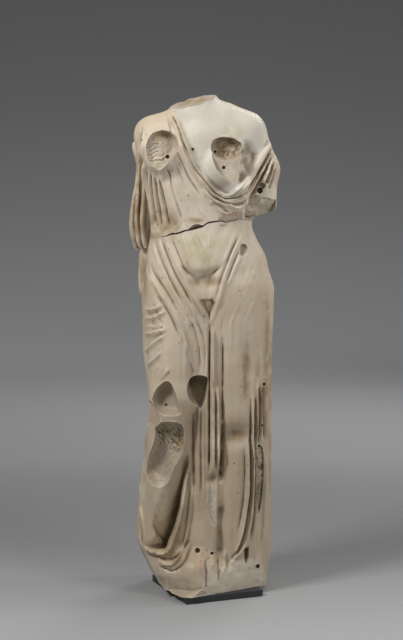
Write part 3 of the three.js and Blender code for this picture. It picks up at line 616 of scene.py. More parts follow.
def carved_skin(name, rows, columns_front, columns_back, folds, dips, scoops, soft_hollows, bare_skin):
    """The figure's closed skin over the given rows: height of the ray's start, rise of the ray.
    bare_skin gives where the skin is bare and how far it steps down there, from x, z and how far it
    faces the front."""
    angles = np.concatenate([
        np.linspace(-FRONT_SWEEP, FRONT_SWEEP, columns_front, endpoint=False),
        np.linspace(FRONT_SWEEP, 2 * math.pi - FRONT_SWEEP, columns_back, endpoint=False)])
    rows = np.asarray(rows, dtype=float)
    rise = np.repeat(rows[:, 1], len(angles))
    angle = np.tile(angles, len(rows))
    centres = np.zeros((len(angle), 3))
    centres[:, 2] = np.repeat(rows[:, 0], len(angles))
    directions = np.stack([np.sin(angle) * np.cos(rise), -np.cos(angle) * np.cos(rise), np.sin(rise)], axis=1)
    skin = centres + directions * skin_radius(directions, centres)[:, None]
    slope = np.stack([outside_body(skin + d) - outside_body(skin - d) for d in np.eye(3) * SLOPE_REACH],
                     axis=1)
    slope /= np.linalg.norm(slope, axis=1)[:, None] + 1e-9
    x, z, facing = skin[:, 0], skin[:, 2], -slope[:, 1]
    front = smoothstep(0.05, 0.35, facing) * smoothstep(0.0, 0.3, np.einsum("ij,ij->i", slope, directions))
    square = fold_relief(x, z, folds) * front
    lean = SQUARE_SHARE * slope + (1.0 - SQUARE_SHARE) * np.array([0.0, -1.0, 0.0])
    lean /= np.linalg.norm(lean, axis=1)[:, None]
    sunk = np.zeros(len(x))
    for depth, edge, outline in dips:
        sunk = np.minimum(sunk, dip_relief(x, z, depth, edge, outline) * front)
    for depth, width, line in scoops:
        sunk = np.minimum(sunk, scoop_relief(x, z, depth, width, line) * front)
    for x0, z0, wide, tall, depth in soft_hollows:
        sunk -= depth * front * np.exp(-((x - x0) / wide) ** 2 - ((z - z0) / tall) ** 2)
    bare, step_down = bare_skin(x, z, facing)
    along = side_fold_relief(np.degrees(angle), z) - step_down
    along += (SKIN_SWELL * rough_stone(skin, SKIN_SWELL_LUMPS, 3)
              + SKIN_RIPPLE * lumps(skin, SKIN_RIPPLE_LUMPS, 11))
    along += front * (1.0 - bare) * CREASE_DEPTH * thin_cloth(x, z)
    points = skin + directions * along[:, None] + lean * square[:, None]
    points[:, 1] -= sunk
    caps = [[0.0, 0.0, rows[0, 0]], [0.0, 0.0, points[-len(angles):, 2].mean()]]
    cloth = np.concatenate([1.0 - bare, [1.0, 1.0]])
    return facing_outward(new_piece(name, np.vstack([points] + caps), ring_faces(len(rows), len(angles)),
                                    cloth=cloth, broken=0.0))


def all_draped(x, z, facing):
    """No bare skin, and no step down from the cloth to it."""
    return 0.0 * x, 0.0 * x


# Breaks and hollows are cut with rough-faced tools. Each carries a mark for how fresh its faces
# are, which the marble's finish reads, from an old worn break to a fresh pale one.
OLD, WORN, BLOCK_WORN, FRESH = 0.4, 0.5, 0.7, 1.0
FLOOR_RINGS = 20
RIM_RINGS = 12
RIM_SHARE = 0.45
RIM_FLARE = 2.2
# A chisel stroke grows over its spacing to this share of the way and then breaks off. Strokes
# wander by a share of their spacing.
STROKE_GROWTH = 1.6
STROKE_BREAK = (0.75, 1.0)
STROKE_WANDER, STROKE_WANDER_LUMPS = 0.45, 15.0
PITTING_LUMPS = 8.0


def hollow_cutter(name, rim, mouth, floor, floor_scale, across, rise, stroke=(0.0, 12.0, 40.0), rough=1.2,
                  zone=None, seed=1, mark=OLD):
    """A broken or chiselled hollow opened from the front. across and rise tilt its floor, stroke is
    the chisel marks' height, spacing and angle, zone the way (x, z) toward which they and the
    pitting grow, with the distances where that begins and ends."""
    rim = np.asarray(rim, dtype=float)
    around = curved(np.vstack([rim, rim[:1]]), 8)[:-1]
    centre = rim.mean(axis=0)
    climb = np.linspace(0.0, 1.0, RIM_RINGS + 1)[1:]
    scales = np.concatenate([np.linspace(0.04, floor_scale, FLOOR_RINGS),
                             floor_scale + (1.0 - floor_scale) * climb, [1.0]])
    depth_share = np.concatenate([np.zeros(FLOOR_RINGS), RIM_SHARE * climb ** RIM_FLARE, [1.0]])
    points = []
    for scale, share in zip(scales, depth_share):
        ring = centre + (around - centre) * scale
        y = floor + across * (ring[:, 0] - centre[0]) + rise * (ring[:, 1] - centre[1])
        points.append(np.stack([ring[:, 0], y + (mouth - y) * share, ring[:, 1]], axis=1))
    points = np.vstack(points)
    worked = 1.0
    if zone:
        toward = (points[:, 0] - centre[0]) * zone[0] + (points[:, 2] - centre[1]) * zone[1]
        worked = smoothstep(zone[2], zone[3], toward)
    height, spacing, turn = stroke
    turn = math.radians(turn)
    phase = points[:, 0] * math.sin(turn) + points[:, 2] * math.cos(turn)
    phase += STROKE_WANDER * spacing * lumps(points, STROKE_WANDER_LUMPS, seed)
    saw = (phase / spacing) % 1.0
    strength = smoothstep(-0.7, 0.3, lumps(points * [1.0, 0.0, 1.0], 1.3 * spacing, seed + 3))
    inner = np.repeat(1.0 - smoothstep(0.2, 1.0, depth_share * 2.0), len(around))
    grown = 1.0 - smoothstep(*STROKE_BREAK, saw)
    points[:, 1] += inner * worked * strength * height * STROKE_GROWTH * saw * grown
    points[:, 1] += inner * (0.5 + 0.5 * worked) * rough * rough_stone(points, PITTING_LUMPS, seed + 5)
    caps = [points[:len(around)].mean(axis=0), [centre[0], mouth, centre[1]]]
    return new_piece(name, np.vstack([points] + caps), ring_faces(len(scales), len(around)),
                     cloth=1.0, broken=mark)


DRILL_SIDES = 20
DRILL_FOOT = 3
DRILL_FOOT_SCALE = 0.82


def drill_cutter(name, x, z, diameter, mouth, floor):
    """A drilled hole with a flat bottom, from its mouth back to its floor."""
    turn = np.linspace(0, 2 * math.pi, DRILL_SIDES, endpoint=False)
    points = []
    for y, scale in ((floor, DRILL_FOOT_SCALE), (floor - DRILL_FOOT, 1.0), (mouth, 1.0)):
        r = diameter / 2 * scale
        points.append(np.stack([x + r * np.cos(turn), np.full(DRILL_SIDES, y), z + r * np.sin(turn)], axis=1))
    points += [[[x, floor, z]], [[x, mouth, z]]]
    return new_piece(name, np.vstack(points), ring_faces(3, DRILL_SIDES), cloth=1.0, broken=OLD)


def drill_cutters(name, holes):
    """The drills of one stone: x, z, diameter, mouth, floor of each hole."""
    return [drill_cutter(f"{name} {i + 1}", *hole) for i, hole in enumerate(holes)]


def block_faces(rows, columns):
    """Faces of a closed block: a near sheet of points, the far sheet after it, and the edges between."""
    near = np.array(row_faces(rows, columns, False))
    total = rows * columns
    edge = ([(i, i + 1) for i in range(columns - 1)]
            + [((i + 1) * columns - 1, (i + 2) * columns - 1) for i in range(rows - 1)]
            + [(total - 1 - i, total - 2 - i) for i in range(columns - 1)]
            + [((rows - 1 - i) * columns, (rows - 2 - i) * columns) for i in range(rows - 1)])
    return near.tolist() + (near[:, ::-1] + total).tolist() + [[b, a, a + total, b + total] for a, b in edge]


BREAK_CELLS = 70


def break_cutter(name, out, distance, centre, half, thick=260.0, rough=2.0, lump=26.0, mark=FRESH):
    """A block beyond a break plane, its near face rough. centre is a point near the break."""
    n = np.asarray(out, dtype=float)
    n = n / np.linalg.norm(n)
    side = np.cross(n, [0.0, 0.0, 1.0])
    side = side / np.linalg.norm(side)
    rise = np.cross(side, n)
    centre = np.asarray(centre, dtype=float)
    centre = centre + n * (distance - centre @ n)
    u, v = np.meshgrid(*(np.linspace(-size, size, BREAK_CELLS) for size in half), indexing="ij")
    flat = centre + u.reshape(-1, 1) * side + v.reshape(-1, 1) * rise
    near = flat + n * (rough * rough_stone(flat, lump, 9))[:, None]
    return new_piece(name, np.vstack([near, flat + n * thick]), block_faces(BREAK_CELLS, BREAK_CELLS),
                     cloth=1.0, broken=mark)


def carve(body, tools, operation="DIFFERENCE"):
    """Cuts or joins the tools in turn, and leaves the result as the body's own mesh."""
    for tool in tools:
        facing_outward(tool)
        cut = body.modifiers.new(tool.name, "BOOLEAN")
        cut.solver = "MANIFOLD"
        cut.operation = operation
        cut.object = tool
    graph = bpy.context.evaluated_depsgraph_get()
    mesh = bpy.data.meshes.new_from_object(body.evaluated_get(graph))
    body.modifiers.clear()
    uncut = body.data
    body.data = mesh
    bpy.data.meshes.remove(uncut)
    for tool in tools:
        bpy.data.objects.remove(tool)


# Line of the old break at the waist, in x and z, and the open chips along its front edge.
WAIST_BREAK = [
    (-420, 968), (-168, 968), (-161, 1000), (-107, 1011), (-64, 1023), (-8, 1036), (8, 1048), (47, 1052),
    (56, 1047), (66, 1048), (96, 1056), (116, 1052), (150, 1040), (420, 1034),
]
WAIST_GAP = 0.6
WAIST_ROUGH, WAIST_LUMPS = 1.6, 24.0
WAIST_LIP, WAIST_LIP_LUMPS = 2.0, 13.0
WAIST_FRONT = (-84.0, -66.0)
WAIST_HALF_WIDTH, WAIST_COLUMNS = 300, 181
WAIST_HALF_DEPTH, WAIST_ROWS = 260, 66
WAIST_CUTS_DOWN_TO, WAIST_CUTS_UP_TO = 700.0, 1600.0
WAIST_CHIPS = [(-26, 20, 10), (60, 17, 8), (-96, 12, 3), (104, 8, 3)]


def waist_cutter(name, up):
    """Everything above the break, or everything below it, with the break's rough face."""
    sign = 1.0 if up else -1.0
    xs = np.linspace(-WAIST_HALF_WIDTH, WAIST_HALF_WIDTH, WAIST_COLUMNS)
    ys = np.linspace(-WAIST_HALF_DEPTH, WAIST_HALF_DEPTH, WAIST_ROWS)
    x, y = [g.ravel() for g in np.meshgrid(xs, ys, indexing="ij")]
    line = np.array(WAIST_BREAK, dtype=float)
    z = np.interp(x, line[:, 0], line[:, 1])
    level = np.stack([x, y, 0.0 * z], axis=1)
    z = z + WAIST_ROUGH * rough_stone(level, WAIST_LUMPS, 21)
    front = 1.0 - smoothstep(*WAIST_FRONT, y)
    z = z - sign * (WAIST_GAP / 2 + front * (WAIST_LIP + lumps(level, WAIST_LIP_LUMPS, 30 + up)))
    if not up:
        for at, half, height in WAIST_CHIPS:
            z += front * height * np.clip(1.0 - ((x - at) / half) ** 2, 0.0, 1.0)
    near = np.stack([x, y, z], axis=1)
    far = np.stack([x, y, np.full(len(x), WAIST_CUTS_UP_TO if up else WAIST_CUTS_DOWN_TO)], axis=1)
    return new_piece(name, np.vstack([near, far]), block_faces(len(xs), len(ys)),
                     cloth=1.0, broken=FRESH)


# The rough block under the feet, and the flat broken front of it.
PLINTH_OUTLINE = [
    (-64, -193), (-36, -200), (171, -63), (178, 0), (168, 112), (60, 138), (-104, 132), (-128, 60),
    (-118, -60), (-92, -150),
]
PLINTH_SHOULDER = [
    (4, -176), (171, -66), (178, 0), (168, 112), (60, 138), (-104, 132), (-112, 60), (-90, -50),
]
PLINTH_TOP = 46.0
PLINTH_EDGE = 9.0
PLINTH_SPLITS = 5
PLINTH_WEAR, PLINTH_WEAR_LUMPS = 1.5, 26.0
PLINTH_BED = 6.0
FRONT_OUT = (0.552, -0.834, 0.0)
FRONT_DISTANCE = 147.0


def rough_block():
    """The low block, worn unevenly all round but left whole on its bed."""
    shell = bmesh.new()
    for x, y in PLINTH_OUTLINE:
        shell.verts.new((x, y, MARBLE_BOTTOM))
    for x, y in PLINTH_SHOULDER:
        shell.verts.new((x, y, PLINTH_TOP))
    bmesh.ops.convex_hull(shell, input=shell.verts)
    bmesh.ops.delete(shell, geom=[v for v in shell.verts if not v.link_faces], context="VERTS")
    bmesh.ops.triangulate(shell, faces=shell.faces)
    for _ in range(PLINTH_SPLITS):
        long_edges = [e for e in shell.edges if e.calc_length() > PLINTH_EDGE]
        if long_edges:
            bmesh.ops.subdivide_edges(shell, edges=long_edges, cuts=1)
            bmesh.ops.triangulate(shell, faces=shell.faces)
    points = np.array([v.co[:] for v in shell.verts])
    shell.verts.index_update()
    faces = [[v.index for v in f.verts] for f in shell.faces]
    shell.free()
    free = smoothstep(MARBLE_BOTTOM, MARBLE_BOTTOM + PLINTH_BED, points[:, 2])
    inward = -points * [1, 1, 0] / (np.linalg.norm(points[:, :2], axis=1)[:, None] + 1e-6)
    worn = PLINTH_WEAR + PLINTH_WEAR * rough_stone(points, PLINTH_WEAR_LUMPS, 41)
    points = points + inward * (free * worn)[:, None]
    return new_piece("plinth block", points, faces, cloth=1.0, broken=BLOCK_WORN)


# The flap that hangs behind the right arm, and the folds on it: x, y, z, half width, half depth.
# It runs across the old break, so both marbles take it before they are cut.
FLAP_FOLDS = [
    [(-180, 45, 1284, 10, 5), (-178, 45, 1262, 30, 12), (-164, 45, 1196, 30, 13), (-172, 46, 1110, 34, 12),
     (-180, 47, 1050, 31, 12), (-181, 48, 985, 26, 11), (-182, 48, 966, 16, 7)],
    [(-170, 46, 1010, 16, 8), (-170, 46, 900, 21, 10), (-170, 46, 850, 18, 9), (-172, 46, 834, 10, 5)],
    [(-190, 34, 1210, 4, 5), (-194, 34, 1152, 6, 9), (-206, 34, 1075, 8, 12), (-204, 36, 1010, 9, 12),
     (-196, 38, 980, 6, 8)],
    [(-184, 18, 1236, 4, 5), (-189, 18, 1140, 6, 9), (-193, 20, 1066, 7, 11), (-189, 22, 1004, 8, 11),
     (-184, 24, 976, 6, 7)],
    [(-170, 2, 1180, 4, 5), (-174, 2, 1110, 6, 8), (-177, 6, 1048, 7, 10), (-173, 10, 998, 7, 10),
     (-168, 12, 974, 5, 7)],
]
FLAP_SIDES = 24
FLAP_RIPPLE, FLAP_RIPPLE_LUMPS = 0.8, 16.0


def hanging_flap(name, stations):
    """An upright fold of cloth: level rings through stations."""
    stations = curved(stations, 8)
    turn = np.linspace(0, 2 * math.pi, FLAP_SIDES, endpoint=False)
    points = [np.stack([x + across * np.cos(turn), y + deep * np.sin(turn), np.full(FLAP_SIDES, z)], axis=1)
              for x, y, z, across, deep in stations]
    points = np.vstack(points + [stations[0, :3], stations[-1, :3]])
    points[:, :2] += FLAP_RIPPLE * lumps(points, FLAP_RIPPLE_LUMPS, 131)[:, None]
    return new_piece(name, points, ring_faces(len(stations), FLAP_SIDES), cloth=1.0, broken=0.0)


def hanging_flaps(name):
    """All folds of the flap, ready to be joined to a stone."""
    return [hanging_flap(f"{name} {i + 1}", line) for i, line in enumerate(FLAP_FOLDS)]


LOWER_SKIN_TOP = 1080.0
LOWER_ROW_STEP = 4.7
LOWER_COLUMNS = (278, 76)

# Drilled holes for lost additions or old repairs: x, z, diameter, mouth, floor.
LOWER_DRILLS = [
    (-108, 543, 10, -190, -108), (-92, 440, 16, -190, -100), (166, 594, 9, -120, -40),
    (161, 477, 9, -120, -40), (152, 419, 9, -120, -35), (149, 78, 13, -190, -60),
    (-21, 138, 15, -220, -125), (19, 130, 10, -220, -125),
]

lower_rows = [(z, 0.0) for z in np.arange(MARBLE_BOTTOM, LOWER_SKIN_TOP, LOWER_ROW_STEP)]
lower = carved_skin("lower_marble_figure", lower_rows, *LOWER_COLUMNS, LOWER_FOLDS, LOWER_DIPS, LOWER_SCOOPS,
                    LOWER_SOFT, all_draped)
carve(lower, [rough_block()] + hanging_flaps("low flap"), "UNION")
carve(lower, [
    waist_cutter("waist break above", True),
    hollow_cutter("knee upper facet", [
        (-150, 560), (-146, 572), (-136, 592), (-120, 607), (-107, 614), (-95, 609), (-84, 589), (-72, 555),
        (-62, 520), (-88, 516), (-118, 520), (-138, 538),
    ], mouth=-190, floor=-108, floor_scale=0.5, across=-0.25, rise=0.12, rough=0.6, seed=51),
    hollow_cutter("knee side facet", [
        (-190, 566), (-150, 556), (-128, 524), (-122, 500), (-134, 482), (-152, 480), (-190, 486),
    ], mouth=-190, floor=-88, floor_scale=0.7, across=-1.4, rise=0.0, rough=0.5, seed=57),
    hollow_cutter("knee rough hollow", [
        (-140, 486), (-118, 500), (-89, 501), (-63, 499), (-51, 484), (-46, 464), (-46, 440), (-54, 414),
        (-70, 388), (-83, 368), (-90, 348), (-98, 324), (-116, 311), (-138, 313), (-158, 323), (-171, 344),
        (-171, 366), (-163, 392), (-152, 420), (-144, 440), (-139, 464),
    ], mouth=-200, floor=-102, floor_scale=0.6, across=-0.3, rise=0.05, stroke=(4.0, 9.5, 48.0), rough=2.6,
       zone=(0.55, 0.83, -5, 35), seed=61),
    hollow_cutter("round socket", [
        (-50, 600), (-43, 616), (-30, 624), (-7, 624), (7, 616), (7, 588), (2, 555), (-6, 533), (-14, 528),
        (-28, 542), (-43, 560), (-50, 580),
    ], mouth=-170, floor=-50, floor_scale=0.6, across=-0.2, rise=0.6, rough=0.7, seed=81),
    hollow_cutter("facet under the folds", [
        (10, 322), (32, 322), (33, 263), (33, 203), (22, 209), (11, 229), (5, 263),
    ], mouth=-170, floor=-119, floor_scale=0.9, across=0.2, rise=0.0, rough=0.9, mark=FRESH, seed=87),
    hollow_cutter("hip chip", [
        (95, 980), (100, 990), (114, 990), (122, 980), (122, 962), (108, 948), (94, 956),
    ], mouth=-130, floor=-66, floor_scale=0.5, across=0.0, rise=0.5, rough=0.8, seed=91),
    hollow_cutter("side strip", [
        (142, 420), (152, 428), (164, 418), (167, 370), (165, 300), (158, 238), (149, 224), (146, 300),
    ], mouth=-120, floor=-51, floor_scale=0.8, across=0.4, rise=0.0, stroke=(1.5, 9.0, 10.0), rough=3.4,
       seed=97),
    break_cutter("foot break", out=(-0.88, -0.18, -0.44), distance=112.0, centre=(-150, -60, 60),
                 half=(190, 150), rough=2.2, lump=40.0),
    break_cutter("front break", out=FRONT_OUT, distance=FRONT_DISTANCE, centre=(70, -130, 54), half=(150, 50),
                 rough=1.6, lump=24.0, thick=80.0),
] + drill_cutters("lower drill", LOWER_DRILLS))

# Stains of both stones, formed before they parted, and spots of painted shade and light: x, z, half width, half
# height.
# Painted shade: many brown spots darken the shade under the belly, the knee, the breast facet, the hollows and
# partly the flap.
BROWN_STAINS_AND_PAINTED_SHADE = [
    (108, 1192, 12, 50), (117, 1218, 14, 56), (8, 812, 20, 30), (-44, 1392, 66, 28), (-178, 900, 26, 100),
    (-192, 1060, 34, 150), (-82, 205, 15, 100), (176, 640, 12, 260), (-198, 1110, 30, 170),
    (190, 500, 13, 360), (-108, 1284, 38, 20), (64, 1256, 60, 34), (-178, 440, 22, 70), (-190, 60, 40, 90),
    (150, 560, 14, 120), (-120, 1040, 60, 60), (-70, 130, 60, 40), (0, 886, 56, 20), (116, 620, 18, 100),
    (84, 450, 36, 22), (-112, 1290, 36, 15), (20, 334, 20, 22), (-72, 440, 26, 34), (-56, 365, 13, 40),
    (-160, 1012, 40, 16), (-30, 1053, 40, 9), (126, 1225, 18, 26),
]
GREEN_STAINS = [
    (-64, 1300, 16, 26), (-34, 1242, 14, 18), (150, 440, 12, 60), (-95, 470, 40, 22), (-10, 940, 60, 50),
    (-12, 990, 80, 36), (-21, 112, 20, 26), (80, 1300, 40, 24),
]
PALE_STAINS_AND_PAINTED_LIGHT = [
    # Painted light: several pale spots lighten the lit lower parts of hollows, facets and the side strip.
    (29, 470, 15, 120), (50, 1044, 80, 9), (112, 900, 46, 80), (-116, 66, 60, 46), (-180, 330, 16, 130),
    (20, 265, 14, 62), (-122, 280, 22, 70), (40, 60, 90, 26), (-14, 556, 18, 40), (150, 1096, 34, 24),
    (-138, 1216, 30, 40), (88, 92, 76, 20), (-60, 44, 46, 16), (-163, 1095, 14, 66), (-56, 285, 11, 54),
    (150, 360, 24, 70), (62, 1184, 30, 28), (-150, 1245, 12, 30),
]
PINK_STAINS = [
    (-12, 96, 17, 36), (165, 828, 8, 10), (74, 1066, 44, 16), (204, 1180, 14, 50), (176, 480, 8, 180),
    (-150, 520, 16, 34),
]
SPOT_EDGE = (0.35, 1.15)
SPOT_BACK = (50.0, 80.0)
DIRT_DEPTH = 3.0
SMOOTHING_PASSES = 9
SMOOTHING = 0.7
SHARP_ANGLE = math.radians(42)


def spot_strength(points, spots):
    """How strongly each point of the front takes a list's spots, real stains and painted shade and light alike,
    broken up by the stone's unevenness.
    """
    amount = np.zeros(len(points))
    for x, z, across, tall in spots:
        d = np.hypot((points[:, 0] - x) / across, (points[:, 2] - z) / tall)
        amount = np.maximum(amount, 1.0 - smoothstep(*SPOT_EDGE, d))
    on_front = 1.0 - smoothstep(*SPOT_BACK, points[:, 1])
    return amount * on_front * smoothstep(-0.9, 0.5, rough_stone(points, 24.0, 77))


def mark_stone(piece):
    """Marks each point for the finish: how deep it lies below the smoothed stone, and its stains and spots of
    painted shade and light.
    """
    mesh = piece.data
    mesh.validate()
    count = len(mesh.vertices)
    co = points_of(mesh) / MM
    normals = np.empty(count * 3, dtype=np.float32)
    mesh.vertex_normals.foreach_get("vector", normals)
    edges = np.empty(len(mesh.edges) * 2, dtype=np.int32)
    mesh.edges.foreach_get("vertices", edges)
    a, b = edges.reshape(-1, 2).T
    links = np.maximum(np.bincount(a, minlength=count) + np.bincount(b, minlength=count), 1)[:, None]
    smooth = co.copy()
    for _ in range(SMOOTHING_PASSES):
        total = np.stack([np.bincount(a, smooth[b, k], minlength=count)
                          + np.bincount(b, smooth[a, k], minlength=count) for k in range(3)], axis=1)
        smooth = (1.0 - SMOOTHING) * smooth + SMOOTHING * total / links
    depth = np.einsum("ij,ij->i", smooth - co, normals.reshape(-1, 3))
    keep_marks(mesh, recess=np.clip(depth / DIRT_DEPTH, -1.0, 1.0), brown=spot_strength(co, BROWN_STAINS_AND_PAINTED_SHADE),
               green=spot_strength(co, GREEN_STAINS), pink=spot_strength(co, PINK_STAINS), pale=spot_strength(co, PALE_STAINS_AND_PAINTED_LIGHT))
    mesh.polygons.foreach_set("use_smooth", np.ones(len(mesh.polygons), dtype=bool))
    mesh.set_sharp_from_angle(angle=SHARP_ANGLE)


CREAM = (0.58, 0.478, 0.345, 1.0)
PALE = (0.70, 0.61, 0.485, 1.0)
BARE_GREY = (0.64, 0.60, 0.52, 1.0)
# Grey-brown for the painted shade toward the bottom, where the light falls off.
PAINTED_SHADE_GREY_BROWN = (0.35, 0.275, 0.185, 1.0)
PATINA = (0.175, 0.12, 0.072, 1.0)
OCHRE = (0.32, 0.218, 0.116, 1.0)
WARM_STONE = (0.52, 0.40, 0.25, 1.0)
LICHEN = (0.44, 0.40, 0.20, 1.0)
ROSE = (0.50, 0.31, 0.23, 1.0)
FRESH_BREAK = (0.60, 0.53, 0.43, 1.0)
OLD_BREAK = (0.36, 0.30, 0.225, 1.0)


def marble_finish():
    """Warm marble with painted shade toward the bottom, stains and spots of painted shade and light, dirt in
    the hollows, rubbed crests, pits and breaks.
    """
    stone = Finish("weathered marble")
    broad = stone.noise(5.0)
    patchy = stone.noise(22.0, 5.0, 0.6)
    grain = stone.noise(160.0)
    colour = stone.tint(CREAM, stone.ramp(broad, 0.35, 0.68), PALE)
    # Painted shade: the colour turns grey-brown toward the bottom, where the light falls off.
    height = stone.add("ShaderNodeSeparateXYZ", Vector=stone.where).outputs["Z"]
    painted_low_shade = stone.ramp(stone.math("ADD", height, stone.times(broad, 0.3)), 1.25, 0.45)
    colour = stone.tint(colour, stone.times(painted_low_shade, 0.74), PAINTED_SHADE_GREY_BROWN)
    colour = stone.tint(colour, stone.ramp(stone.noise(11.0, 4.0), 0.45, 0.7, 0.0, 0.35), WARM_STONE)
    bare = stone.math("SUBTRACT", 1.0, stone.mark("cloth"))
    colour = stone.tint(colour, stone.times(bare, 0.75), BARE_GREY)
    broken = stone.mark("broken")
    colour = stone.tint(colour, stone.ramp(broken, 0.1, 0.35, 0.0, 0.55), OLD_BREAK)
    colour = stone.tint(colour, stone.ramp(broken, 0.7, 1.0, 0.0, 0.7), FRESH_BREAK)
    # The brown and pale marks tint in real stains together with painted shade and painted light.
    for mark, strength, spot_colour in (("green", 0.5, LICHEN), ("pink", 0.7, ROSE), ("pale", 0.55, PALE),
                                  ("brown", 0.8, OCHRE)):
        colour = stone.tint(colour, stone.times(stone.mark(mark), strength), spot_colour)
    recess = stone.mark("recess")
    dirt = stone.times(stone.ramp(recess, 0.08, 0.8), stone.ramp(patchy, 0.25, 0.6, 0.5, 1.0))
    colour = stone.tint(colour, stone.times(dirt, 0.85), PATINA)
    rubbed = stone.times(stone.ramp(recess, -0.2, -1.0), stone.ramp(patchy, 0.4, 0.65, 0.0, 0.3))
    colour = stone.tint(colour, rubbed, PALE)
    speck = stone.times(stone.ramp(grain, 0.62, 0.74), stone.ramp(patchy, 0.4, 0.7))
    colour = stone.tint(colour, stone.times(speck, 0.35), OCHRE)
    cells = stone.add("ShaderNodeTexVoronoi", Vector=stone.where, Scale=42.0).outputs["Distance"]
    pit = stone.times(stone.ramp(cells, 0.15, 0.07), stone.ramp(patchy, 0.5, 0.56))
    pit = stone.times(pit, stone.mark("cloth"))
    colour = stone.tint(colour, stone.times(pit, 0.8), PATINA)
    relief = stone.math("ADD", stone.times(grain, 0.35), stone.times(patchy, 0.65))
    relief = stone.math("SUBTRACT", relief, stone.times(pit, 0.5))
    bump = stone.add("ShaderNodeBump", Height=relief, Strength=0.5, Distance=0.004).outputs[0]
    return stone.shade(colour, stone.ramp(patchy, 0.3, 0.7, 0.44, 0.64),
                       **{"Normal": bump, "Specular IOR Level": 0.45})


marble = marble_finish()
mark_stone(lower)
hand_over(lower, marble, "lower_body")

# ---------------------------------------------------------------------------------------------
# Upper marble: the rest of the same figure, broken off at the waist and set back on. Bare left
# shoulder and breast, cloth crossing from the right shoulder, and the flap behind the right arm.
# Both breasts, the neck and both arms are lost to old breaks, some worked over with a chisel.

# Edge of the cloth across the chest, in x and z; everything above it is bare skin, a step lower.
NECKLINE = [
    (-96, 1372), (-90, 1355), (-64, 1298), (-43, 1243), (-22, 1197), (9, 1159), (48, 1117), (65, 1108),
    (97, 1128), (132, 1180), (163, 1225), (182, 1271),
]
NECKLINE_FOOT = 1100
NECKLINE_LEFT = -100
CLOTH_STEP = 6.0

SWAG_TOP = [
    (-64, 1299), (-44, 1244), (-22, 1203), (0, 1170), (22, 1143), (44, 1125), (71, 1121), (102, 1144),
    (138, 1188), (167, 1240), (182, 1260),
]
SWAG_SECOND = [
    (-22, 1189), (-1, 1154), (19, 1130), (41, 1115), (62, 1108), (97, 1111), (125, 1137), (157, 1187),
    (187, 1243),
]
SWAG_THIRD = [(0, 1137), (22, 1110), (50, 1099), (73, 1090), (91, 1088), (111, 1096), (122, 1112)]
ARM_HOLLOW = [(184, 1228), (166, 1190), (150, 1160), (139, 1137), (127, 1112), (109, 1062)]

# Height (minus for a hollow), half width, line in x and z.
UPPER_FOLDS = [
    (16, 9, SWAG_TOP),
    (14, 7, SWAG_SECOND),
    (12, 7, SWAG_THIRD),
    (10, 6, [(11, 1113), (30, 1091), (50, 1077), (69, 1068)]),
    (-11, 6, [(182, 1249), (166, 1216), (143, 1176), (122, 1137), (108, 1118)]),
    (-14, 6, ARM_HOLLOW),
    (12, 5.5, [(189, 1226), (176, 1193), (162, 1160)]),
    (-9, 4.5, [(188, 1210), (181, 1179), (169, 1154)]),
    (10, 5.5, [(195, 1215), (186, 1185), (172, 1140)]),
    (-9, 4.5, [(195, 1199), (188, 1165), (177, 1140)]),
    (-9, 5, [(147, 1117), (137, 1096), (123, 1077), (112, 1060)]),
    (8, 6, [(-125, 1184), (-112, 1137), (-95, 1089), (-76, 1038)]),
    (6, 5, [(-145, 1181), (-143, 1137), (-137, 1087), (-129, 1035)]),
    (6, 5, [(-156, 1192), (-154, 1137), (-149, 1087), (-142, 1034)]),
    (-8, 4.5, [(-125, 1165), (-117, 1132), (-109, 1096), (-96, 1032)]),
    (12, 5, [(-170, 1309), (-168, 1247), (-170, 1138), (-165, 1076), (-155, 1031)]),
    (12, 5, [(-179, 1298), (-181, 1207), (-179, 1138), (-174, 1081), (-167, 1036)]),
    # Finer cutting between them.
    (-21, 11, [(116, 1262), (112, 1222), (108, 1186), (101, 1154)]),
    (8, 4.5, [(152, 1154), (138, 1119), (127, 1092), (117, 1066)]),
    (5.5, 3.6, [(-100, 1346), (-81, 1309), (-67, 1268), (-52, 1227), (-29, 1182), (-2, 1144), (24, 1112)]),
    (-6, 3, [(-92, 1342), (-76, 1316), (-63, 1279), (-47, 1238), (-24, 1191), (4, 1153)]),
    (-5.5, 3.6, [(-104, 1330), (-92, 1296), (-79, 1253), (-63, 1209), (-41, 1165), (-15, 1126)]),
    (3.5, 4, [(-99, 1300), (-90, 1252), (-75, 1205), (-54, 1160), (-30, 1118)]),
    (-8, 2.8, SWAG_TOP[1:-1]),
    (-6, 2.4, SWAG_SECOND[1:]),
    (-8, 5, [(25, 1122), (50, 1102), (64, 1092), (86, 1085)]),
    (-7, 4, [(-16, 1197), (6, 1159), (28, 1129), (50, 1115), (75, 1114)]),
    (-6, 4.5, [(17, 1102), (39, 1084), (64, 1075)]),
    (5, 4.5, [(-131, 1170), (-125, 1124), (-115, 1077), (-108, 1035)]),
    (-7.5, 4, [(-138, 1168), (-132, 1117), (-124, 1074), (-118, 1035)]),
    (-7, 4, [(-150, 1181), (-148, 1137), (-142, 1089), (-135, 1040)]),
    (-7, 4, [(-162, 1198), (-161, 1137), (-157, 1087), (-152, 1042)]),
    (-7.5, 3.5, [(-174, 1304), (-174, 1221), (-175, 1152), (-172, 1095), (-165, 1047)]),
    (-7.5, 3.5, [(-184, 1293), (-185, 1221), (-184, 1152), (-181, 1095), (-178, 1048)]),
    (-5, 4.5, [(-108, 1195), (-98, 1176), (-91, 1137), (-77, 1096), (-61, 1049)]),
    (4, 6.5, [(-90, 1219), (-77, 1159), (-58, 1102), (-39, 1049)]),
    (-3, 5.5, [(-79, 1224), (-63, 1165), (-41, 1102), (-19, 1049)]),
    (3, 5.5, [(-69, 1225), (-50, 1165), (-25, 1102), (3, 1057)]),
]

